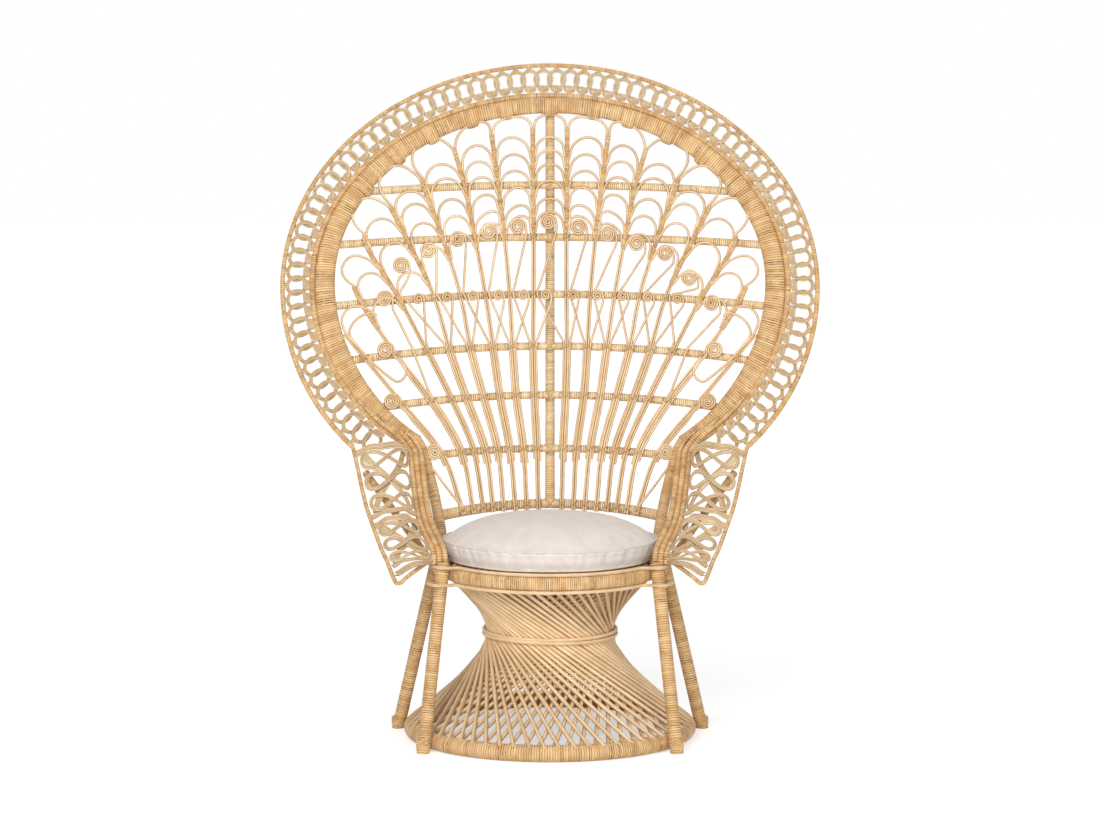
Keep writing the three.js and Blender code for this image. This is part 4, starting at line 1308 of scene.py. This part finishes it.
# %% [markdown]
# Now the fan is put together. A sleeve of peel wound round each stake binds the feet of the
# scallops, as far down as they reach, so it comes after them. Where the first arches meet the
# hoop, a second layer of peel on the hoop holds them. Each stake with what grows out of it is one
# piece, drawn flat and then laid on the shell.

# %% The whole fan
TRUNK_DEPTH = 9


def trunk(number):
    line = stake_run(number, stake_lines[number][0].y - 3, trunk_foot[number] - 16, 0, 0, 24)
    return wound(line, TRUNK_WIDTH, TRUNK_DEPTH, pitch=4.2, flat=True, sides=10)


def hoop_binding(crown, long, deep):
    line = hoop_line(HOOP_BAND)
    nearest = min(range(len(line)), key=lambda i: (line[i].xy - Vector(crown)).length)
    share = nearest / (len(line) - 1)
    half = long / 2 / length_of(line)
    route = [hoop_point(HOOP_BAND, share + half * (i / 4 - 1)) for i in range(9)]
    inwards = (Vector((0, HOOP_Z, 0)) - route[4]).normalized() * 3.5
    route = [p + inwards for p in route]
    ease = [1 - 0.13 * abs(i / 4 - 1) ** 3 for i in range(9)]
    return wound(
        route,
        band_width(share) + 8,
        deep,
        pitch=5.2,
        flat=True,
        radii=ease,
        sides=16,
        square=BAND_SQUARE,
        rise=HOOP_LIFT,
    )


fans = []
for number in range(STAKES):
    canes = stake_canes(number) + stake_ties(number)
    if number < STAKES - 1:
        canes += scallops(number) + scrolls(number)
    if number in (0, STAKES - 1):
        canes += end_canes(1 if number == 0 else -1)
    fans.append(canes)
for number, canes in enumerate(fans):
    name = f"fan_stake_{number + 1:02d}"
    if number in trunk_foot:
        canes.append(trunk(number))
    bind(f"{name}_bound", lay_on_back(canes), [name])
bindings = [hoop_binding((0, CROWNS[0][0][1]), 32, BAND_DEPTH + 11)]
for sector in CROWNS[1:6]:
    for side in (1, -1):
        bindings.append(hoop_binding((side * sector[0][0], sector[0][1]), 26, BAND_DEPTH + 5))
bind("hoop_bindings", lay_on_back(bindings), [])
print("fan made, with", len(bindings), "bindings on the hoop")

# %% [markdown]
# The border is a chain of oval loops. Each loop is three strands of peel side by side, and it
# leans a little, so that one flank lies over the neighbour before it and the other under the
# neighbour behind it. Small flattened loops fill the edge by the bead. One loop is modelled; an
# Array modifier makes a section of the chain and a Curve modifier leads it between the bead and
# the rim.

# %% Lace border
LACE_SECTIONS = 8
LACE_LOOPS = 10
LOOP_TALL = 24.5
LOOP_WIDE = 23
LOOP_SHIFT = -2.2
STRAND = 3.0
STRAND_PITCH = 2.9
LOOP_LEAN = 2.0


def oval(tall, wide, middle, lean, count=26):
    line = []
    for i in range(count):
        angle = 2 * math.pi * i / count
        x, y = wide * math.cos(angle), tall * math.sin(angle)
        line.append(Vector((x, y + middle, -lean * x / wide)))
    return line


def nested(tall, wide, middle, lean, strands, count=26):
    made = []
    for k in range(strands):
        inset = STRAND / 2 + k * STRAND_PITCH
        line = oval(max(tall - inset, 0.6), wide - inset, middle, lean, count)
        made.append(cane(line, STRAND, step=90, closed=True, finish=lace_peel))
    return made


def lace_loop():
    ring = nested(LOOP_TALL, LOOP_WIDE, LOOP_SHIFT, LOOP_LEAN, 3)
    bead_loop = nested(9, 14.5, LOOP_TALL - 5, -LOOP_LEAN * 1.5, 3, 18)
    rim_loop = nested(4.5, 7.5, LOOP_SHIFT + 1.5 - LOOP_TALL, -LOOP_LEAN * 1.5, 1, 12)
    return ring + bead_loop + rim_loop


middle_line = [a.lerp(b, 0.5) for a, b in zip(hoop_line(HOOP_BEAD), hoop_line(RIM))]
loop_pitch = length_of(middle_line) / (LACE_SECTIONS * LACE_LOOPS)
print("lace loops every", round(loop_pitch, 1), "mm")
for section in range(LACE_SECTIONS):
    chain = joined(lace_loop())
    for vertex in chain.data.vertices:
        vertex.co.x += (section * LACE_LOOPS + 0.5) * loop_pitch * MM
    bpy.ops.object.select_all(action="DESELECT")
    lead_along(chain, draw_curve(middle_line, flat=True), LACE_LOOPS, loop_pitch)
    for vertex in chain.data.vertices:
        vertex.co.z += HOOP_LIFT * MM
    name = f"border_lace_{section + 1}"
    bind(f"{name}_loops", lay_on_back([chain]), [name])

# %% [markdown]
# Each arm hangs between a triple bound pole, from the hoop to the front leg, and a thin rim rod
# that swings out and forward to a tight tip and turns back to the pole. A stout brace runs below.
# The three strands of the pole part at the top and lap over the hoop and its bead. The routes are
# those of the left arm. The right one is made from them too, and then mirrored.

# %% Routes of the arm
ARM_POLE = 12.5
ARM_RIM = 9.5
BRACE_WIDTH = 17
leg_top = Vector((234.4, -104.4, 400))
hoop_end = hoop_point(HOOP_BAND, 0)
rim_end = hoop_point(RIM, 0)
POLE_KNOTS = [
    at(*(leg_top + Vector((8, 0, 0)))),
    at(*(leg_top + Vector((10, 3, 24)))),
    at(280, 10, 485),
    shell_point(hoop_end.x + 8, hoop_end.y, HOOP_LIFT),
]
RIM_KNOTS = [
    shell_point(rim_end.x, rim_end.y, HOOP_LIFT),
    at(395, -50, 485),
    at(330, -150, 385),
    at(*(leg_top - Vector((0, 0, 17)))),
]
RIM_TIP = [
    at(343, -147, 377),
    at(335, -151, 364),
    at(326, -149, 365),
    at(317, -144, 373),
    at(258, -108, 412),
]
POLE_FACE = Vector((0, -1, 1)).normalized()
POLE_LAPS = {
    -1: (0.2, (0.006, 0.014)),
    0: (0.6, (0.008, 0.022, 0.036)),
    1: (1.0, (0.01, 0.028, 0.046, 0.062)),
}
LAP_LIFT = 8.5
print("the arm's pole is", round(length_of(smooth_line(POLE_KNOTS))), "mm long")

# %% [markdown]
# The lace of an arm is a curved panel that sags between the pole and the rim. As with the fan, it
# is easier to draw it flat and lay it on after. The panel is spanned by straight lines from the
# pole to the rim, and the sag is largest halfway along each of them.

# %% The panel of the arm
ARM_BULGE = 22


def arm_point(panel, u, v):
    pole_from, pole_to, rim_from, rim_to = panel
    inner = on_curve(POLE_KNOTS, pole_from + (pole_to - pole_from) * v)
    outer = on_curve(RIM_KNOTS, rim_from + (rim_to - rim_from) * v)
    span = (outer - inner).length
    start, end = 1.5 * ARM_POLE / span, 1 - ARM_RIM / 2 / span
    return inner.lerp(outer, start + (end - start) * u)


def lay_on_arm(pieces, panel, wide, tall):
    small = 0.01
    for piece in pieces:
        for vertex in piece.data.vertices:
            u, v, lift = vertex.co.x / MM / wide, vertex.co.y / MM / tall, vertex.co.z / MM
            point = arm_point(panel, u, v)
            across = arm_point(panel, u + small, v) - point
            down = arm_point(panel, u, v + small) - point
            front = down.cross(across).normalized()
            sag = ARM_BULGE * math.sin(math.pi * max(0.0, min(1.0, u)))
            vertex.co = (point + front * (sag + lift)) * MM
        piece.data.update()
    return pieces


print("the arm's lace sags", ARM_BULGE, "mm")

# %% [markdown]
# The pattern is made of bands of strands side by side: bows, which are lying figures of eight,
# slanting bands that cross behind them, and a bundle along each edge. One helper makes the
# strands of any band from its middle line.

# %% Bows and bands


def bow(middle, wide, tall, count=60):
    line = []
    for i in range(count):
        t = 2 * math.pi * i / count
        x, y = wide * math.cos(t), tall * math.sin(2 * t)
        line.append(Vector((middle[0] + x, middle[1] + y, 2.4 + 1.3 * math.sin(t))))
    return line


def slant(start, end, lift, count=24):
    line = []
    for i in range(count + 1):
        share = i / count
        x = start[0] + (end[0] - start[0]) * (share - 0.07 * math.sin(2 * math.pi * share))
        y = start[1] + (end[1] - start[1]) * share
        line.append(Vector((x, y, lift + 1.2 * math.sin(9 * share))))
    return line


def braid(line, closed, strands=3, width=3.5):
    made = []
    count = len(line)
    for k in range(strands):
        offset = (k - (strands - 1) / 2) * width * 0.97
        moved = []
        for i, point in enumerate(line):
            before = line[i - 1] if closed or i else line[0]
            after = line[(i + 1) % count] if closed or i + 1 < count else line[-1]
            along = (after - before).xy.normalized()
            moved.append(point + Vector((-along.y, along.x, 0)) * offset)
        made.append(cane(moved, width, step=90, closed=closed, finish=lace_peel))
    return made


def edge_bundle(height, wide, strands):
    line = []
    for i in range(17):
        y = height + 2 * math.sin(i * 0.9)
        line.append(Vector((wide * (1.02 * i / 16), y, 1 + math.sin(i * 1.7))))
    return braid(line, False, strands)


print("a bow 54 mm to each side takes", round(length_of(bow((0, 0), 54, 14))), "mm a strand")

# %% [markdown]
# Each arm has two lace panels, one above the other. Two more bands lead from the lower panel's
# corner at the pole to the tip, which the panels don't reach.

# %% Both arms
PANELS = {
    "arm_lace_upper": ((0.985, 0.677, 0.015, 0.323), 150, 170, (0.2, 0.5, 0.8)),
    "arm_lace_lower": ((0.657, 0.12, 0.343, 0.607), 120, 130, (0.2, 0.5, 0.8)),
}
CROSSED_BANDS = (((0.9, 0.1), (0.12, 0.92), 0, 5), ((0.12, 0.1), (0.9, 0.92), -2.6, 5))
TIP_BANDS = (((0.02, 1.0), (1.1, 1.2), 0, 4), ((0.02, 1.1), (1.2, 1.3), -1, 4))


def flipped(pieces):
    for piece in pieces:
        for vertex in piece.data.vertices:
            vertex.co.x = -vertex.co.x
    return pieces


for side in ("left", "right"):
    turn = flipped if side == "right" else (lambda pieces: pieces)
    poles = []
    pole_line = smooth_line(POLE_KNOTS, 10)
    for k in (-1, 0, 1):
        shifted = []
        for i, point in enumerate(pole_line):
            along = pole_line[min(i + 1, len(pole_line) - 1)] - pole_line[max(i - 1, 0)]
            shifted.append(point + along.cross(POLE_FACE).normalized() * k * ARM_POLE)
        between, shares = POLE_LAPS[k]
        lap = []
        for share in shares:
            spot = hoop_point(HOOP_BAND, share).lerp(hoop_point(HOOP_BEAD, share), between)
            lap.append(shell_point(spot.x, spot.y, LAP_LIFT))
        route = smooth_line([*shifted[:-3], *lap], 8)
        slim = [1 - 0.45 * smooth_step(0.8, 1.0, i / (len(route) - 1)) for i in range(len(route))]
        poles.append(wound(route, ARM_POLE, pitch=5.2, radii=slim, sides=10))
    bind(f"arm_pole_{side}_wound", turn(poles), [f"arm_pole_{side}"])
    edge = [on_curve(RIM_KNOTS, i / 20) for i in range(12)]
    rod = wound(smooth_line([*edge, *RIM_TIP], 6), ARM_RIM, pitch=4.2, sides=8)
    bind(f"arm_rim_{side}_wound", turn([rod]), [f"arm_rim_{side}"])
    start = on_curve(RIM_KNOTS, 0.1).lerp(on_curve(POLE_KNOTS, 0.9), 0.16)
    tangent = on_curve(RIM_KNOTS, 0.11) - on_curve(RIM_KNOTS, 0.1)
    under = (start - on_curve(POLE_KNOTS, 0.9)).cross(tangent).normalized()
    foot = at(*leg_top).lerp(polar(*FRONT_LEG[1]), 0.07)
    route = [start + under * 13, start.lerp(foot, 0.5) + under * 6, foot]
    brace = wound(route, BRACE_WIDTH, pitch=4.8)
    bind(f"arm_brace_{side}_wound", turn([brace]), [f"arm_brace_{side}"])
    for name, (panel, wide, tall, heights) in PANELS.items():
        strands = edge_bundle(tall * 0.05, wide, 5) + edge_bundle(tall * 0.96, wide, 4)
        for height in heights:
            strands += braid(bow((wide * 0.5, tall * height), wide * 0.45, tall * 0.105), True)
        bands = CROSSED_BANDS + (TIP_BANDS if name == "arm_lace_lower" else ())
        for (x, y), (end_x, end_y), lift, count in bands:
            route = slant((wide * x, tall * y), (wide * end_x, tall * end_y), lift)
            strands += braid(route, False, count)
        laid = lay_on_arm(strands, panel, wide, tall)
        bind(f"{name}_{side}_braids", turn(laid), [f"{name}_{side}"])
print("arms made")

# %% [markdown]
# The cushion has a cover of plain cotton. Its threads are too fine for geometry, so waves along
# the three axes make a weave of bump, and a slow noise makes the cloth a little uneven in colour.

# %% Cotton
THREADS = (3900, 3900, 3900)

cotton = bpy.data.materials.new("cushion_cotton")
cotton.use_nodes = True
tree = cotton.node_tree
place = node(tree, "ShaderNodeTexCoord").outputs["Object"]
slub = node(tree, "ShaderNodeTexNoise", {"Vector": place, "Scale": 26, "Detail": 5})
soft = mix(tree, ramp(tree, slub.outputs[0], 0.35, 0.7), tone(234, 225, 218), tone(227, 216, 208))
threads = node(tree, "ShaderNodeVectorMath", {0: place, 1: THREADS}, operation="MULTIPLY")
crossed = node(tree, "ShaderNodeVectorMath", {0: threads.outputs[0]}, operation="SINE")
parts = node(tree, "ShaderNodeSeparateXYZ", {0: crossed.outputs[0]})
flat_weave = math_node(tree, "MULTIPLY", parts.outputs[0], parts.outputs[1])
slanting = math_node(tree, "ADD", parts.outputs[0], parts.outputs[1])
side_weave = math_node(tree, "MULTIPLY", parts.outputs[2], slanting)
weave = math_node(tree, "ADD", flat_weave, side_weave)
woven = mix(tree, ramp(tree, flat_weave, -0.4, -0.9), soft, tone(205, 192, 183))
shader = tree.nodes["Principled BSDF"]
bump = node(tree, "ShaderNodeBump", {"Strength": 0.25, "Distance": 0.0003, "Height": weave})
tree.links.new(woven, shader.inputs["Base Color"])
tree.links.new(bump.outputs[0], shader.inputs["Normal"])
shader.inputs["Roughness"].default_value = 0.9
shader.inputs["Sheen Weight"].default_value = 0.25
shader.inputs["Specular IOR Level"].default_value = 0.2
print("finish:", cotton.name)

# %% [markdown]
# The cushion is the one soft thing on the chair. Its solid is copied, drawn in a little, remeshed
# and blown up by the cloth solver while its two seams and its underside are pinned. So the top
# crowns and the boxing swells between the seams, as a filled cover does by itself.

# %% Swelling the cushion
CUSHION_SHRINK = (0.972, 0.972, 0.97)
CUSHION_VOXEL = 5.0
CUSHION_PRESSURE = 4
CUSHION_SWELL = 12.0
CUSHION_FRAMES = 20
TOP_SEAM = 446
LOW_SEAM = 400
SEAM_REACH = 4

solid = bpy.data.objects["seat_cushion"]
bpy.ops.object.select_all(action="DESELECT")
bpy.ops.mesh.primitive_plane_add()
cushion = bpy.context.object
cushion.data = solid.data.copy()
cushion.data.transform(solid.matrix_world)
cushion.data.materials.clear()
low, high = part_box("seat_cushion")
middle = np.array([0, MIDDLE_Y * MM, low[2]])
place_points(cushion, middle + (coordinates(cushion) - middle) * CUSHION_SHRINK)
voxels = cushion.modifiers.new("voxels", "REMESH")
voxels.mode = "VOXEL"
voxels.voxel_size = CUSHION_VOXEL * MM
bpy.ops.object.modifier_apply(modifier="voxels")

before = coordinates(cushion)
reach = np.hypot(before[:, 0], before[:, 1] - MIDDLE_Y * MM)
height = before[:, 2] / MM
edge = reach > reach.max() - 0.006
at_seam = (abs(height - TOP_SEAM) < SEAM_REACH) | (abs(height - LOW_SEAM) < SEAM_REACH)
seams = edge & at_seam
held = seams | (before[:, 2] < low[2] + 0.003)
pins = cushion.vertex_groups.new(name="held")
pins.add(np.flatnonzero(held).tolist(), 1.0, "REPLACE")
cloth = cushion.modifiers.new("cloth", "CLOTH")
cloth.settings.use_pressure = True
cloth.settings.uniform_pressure_force = CUSHION_PRESSURE
cloth.settings.effector_weights.gravity = 0
cloth.settings.vertex_group_mass = "held"
for number in range(1, CUSHION_FRAMES + 1):
    bpy.context.scene.frame_set(number)
bpy.ops.object.modifier_apply(modifier="cloth")
bpy.context.scene.frame_set(1)
moved = coordinates(cushion) - before
far = np.linalg.norm(moved, axis=1, keepdims=True)
print("cushion swells up to", round(float(far.max()) / MM, 1), "mm")
kept = np.minimum(1, CUSHION_SWELL * MM / np.maximum(far, 1e-9))
place_points(cushion, before + moved * kept)
cushion.vertex_groups.clear()
finer = cushion.modifiers.new("finer", "SUBSURF")
finer.levels = finer.render_levels = 1
bpy.ops.object.modifier_apply(modifier="finer")
print("cushion has", len(cushion.data.vertices), "points")

# %% [markdown]
# The real cushion is fuller than the solver makes this one, and wider at its upper seam. So the
# dome is raised and the upper part widened to the sizes measured in the photograph, with a slight
# dent beside each arm pole. Then the boxing gets the fine upright puckers of a gathered seam.

# %% Crown, rim and puckers
CROWN_TOP = 500
WIDEST = 237
POLE_DENT = 1.5
POLE_ANGLE = 0.25
POLE_SPREAD = 0.22
PUCKER = 0.9

points = coordinates(cushion)
height = points[:, 2] / MM
dome = np.clip(height - TOP_SEAM, 0, None)
print("crown raised from", round(float(height.max()), 1), "to", CROWN_TOP, "mm")
points[:, 2] += dome * ((CROWN_TOP - TOP_SEAM) / dome.max() - 1) * MM
x, y = points[:, 0], points[:, 1] - MIDDLE_Y * MM
angle = np.arctan2(y, x)
upper = np.clip((height - LOW_SEAM) / (TOP_SEAM - LOW_SEAM), 0, 1)
left_pole = np.exp(-(((angle + POLE_ANGLE) / POLE_SPREAD) ** 2))
right_pole = np.exp(-(((angle + math.pi - POLE_ANGLE) / POLE_SPREAD) ** 2))
reach = np.hypot(x, y) / MM
limit = WIDEST - POLE_DENT * (left_pole + right_pole)
wider = 1 + (WIDEST / reach[abs(height - TOP_SEAM) < 3].max() - 1) * upper
wider = np.minimum(wider, limit / np.maximum(reach, 1))
points[:, 0] *= wider
points[:, 1] = y * wider + MIDDLE_Y * MM
narrow_folds = np.sin(53 * angle + 2 * np.sin(5 * angle))
broad_folds = 0.7 * np.sin(34 * angle + 1.3 + 3 * np.sin(3 * angle))
fold = narrow_folds + broad_folds
boxing = np.clip((height - LOW_SEAM) / 10, 0, 1) * np.clip((TOP_SEAM + 2 - height) / 6, 0, 1)
near_seam = np.exp(-abs(height - TOP_SEAM + 8) / 14)
outward = np.stack([np.cos(angle), np.sin(angle)], axis=1)
points[:, :2] += outward * (PUCKER * MM * fold * boxing * (0.35 + near_seam))[:, None]
place_points(cushion, points)

# %% [markdown]
# A thin cord of piping is sewn into each seam. Its line goes through the outermost points of the
# cushion near the seam, so that the cord lies on the cloth all the way round.

# %% Piping and the finished cushion
PIPING = 3.4
PIPING_STEPS = 120


def piping(seam):
    points = coordinates(cushion)
    x, y = points[:, 0], points[:, 1] - MIDDLE_Y * MM
    near = abs(points[:, 2] / MM - seam) < 3
    angle, reach = np.arctan2(y, x)[near], np.hypot(x, y)[near]
    line = []
    for i in range(PIPING_STEPS):
        turn = 2 * math.pi * i / PIPING_STEPS
        away = abs((angle - turn + math.pi) % (2 * math.pi) - math.pi)
        radius = reach[away < 0.06].max() / MM + 0.3
        waver = 0.5 * math.sin(7 * turn)
        line.append(at(radius * math.cos(turn), radius * math.sin(turn), seam + waver))
    return cane(line, PIPING, step=90, closed=True, roundness=2, finish=cotton)


cushion.data.materials.append(cotton)
pad = bind(
    "seat_cushion_sewn",
    [cushion, piping(TOP_SEAM - 3), piping(LOW_SEAM)],
    ["seat_cushion"],
    "cushion",
)
print("cushion made:", len(pad.data.polygons), "faces")

# %% [markdown]
# Last, the height of the finished chair is printed.

# %% Sizes and the end
low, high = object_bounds()
print("the chair is", round((high[2] - low[2]) / MM), "mm high")
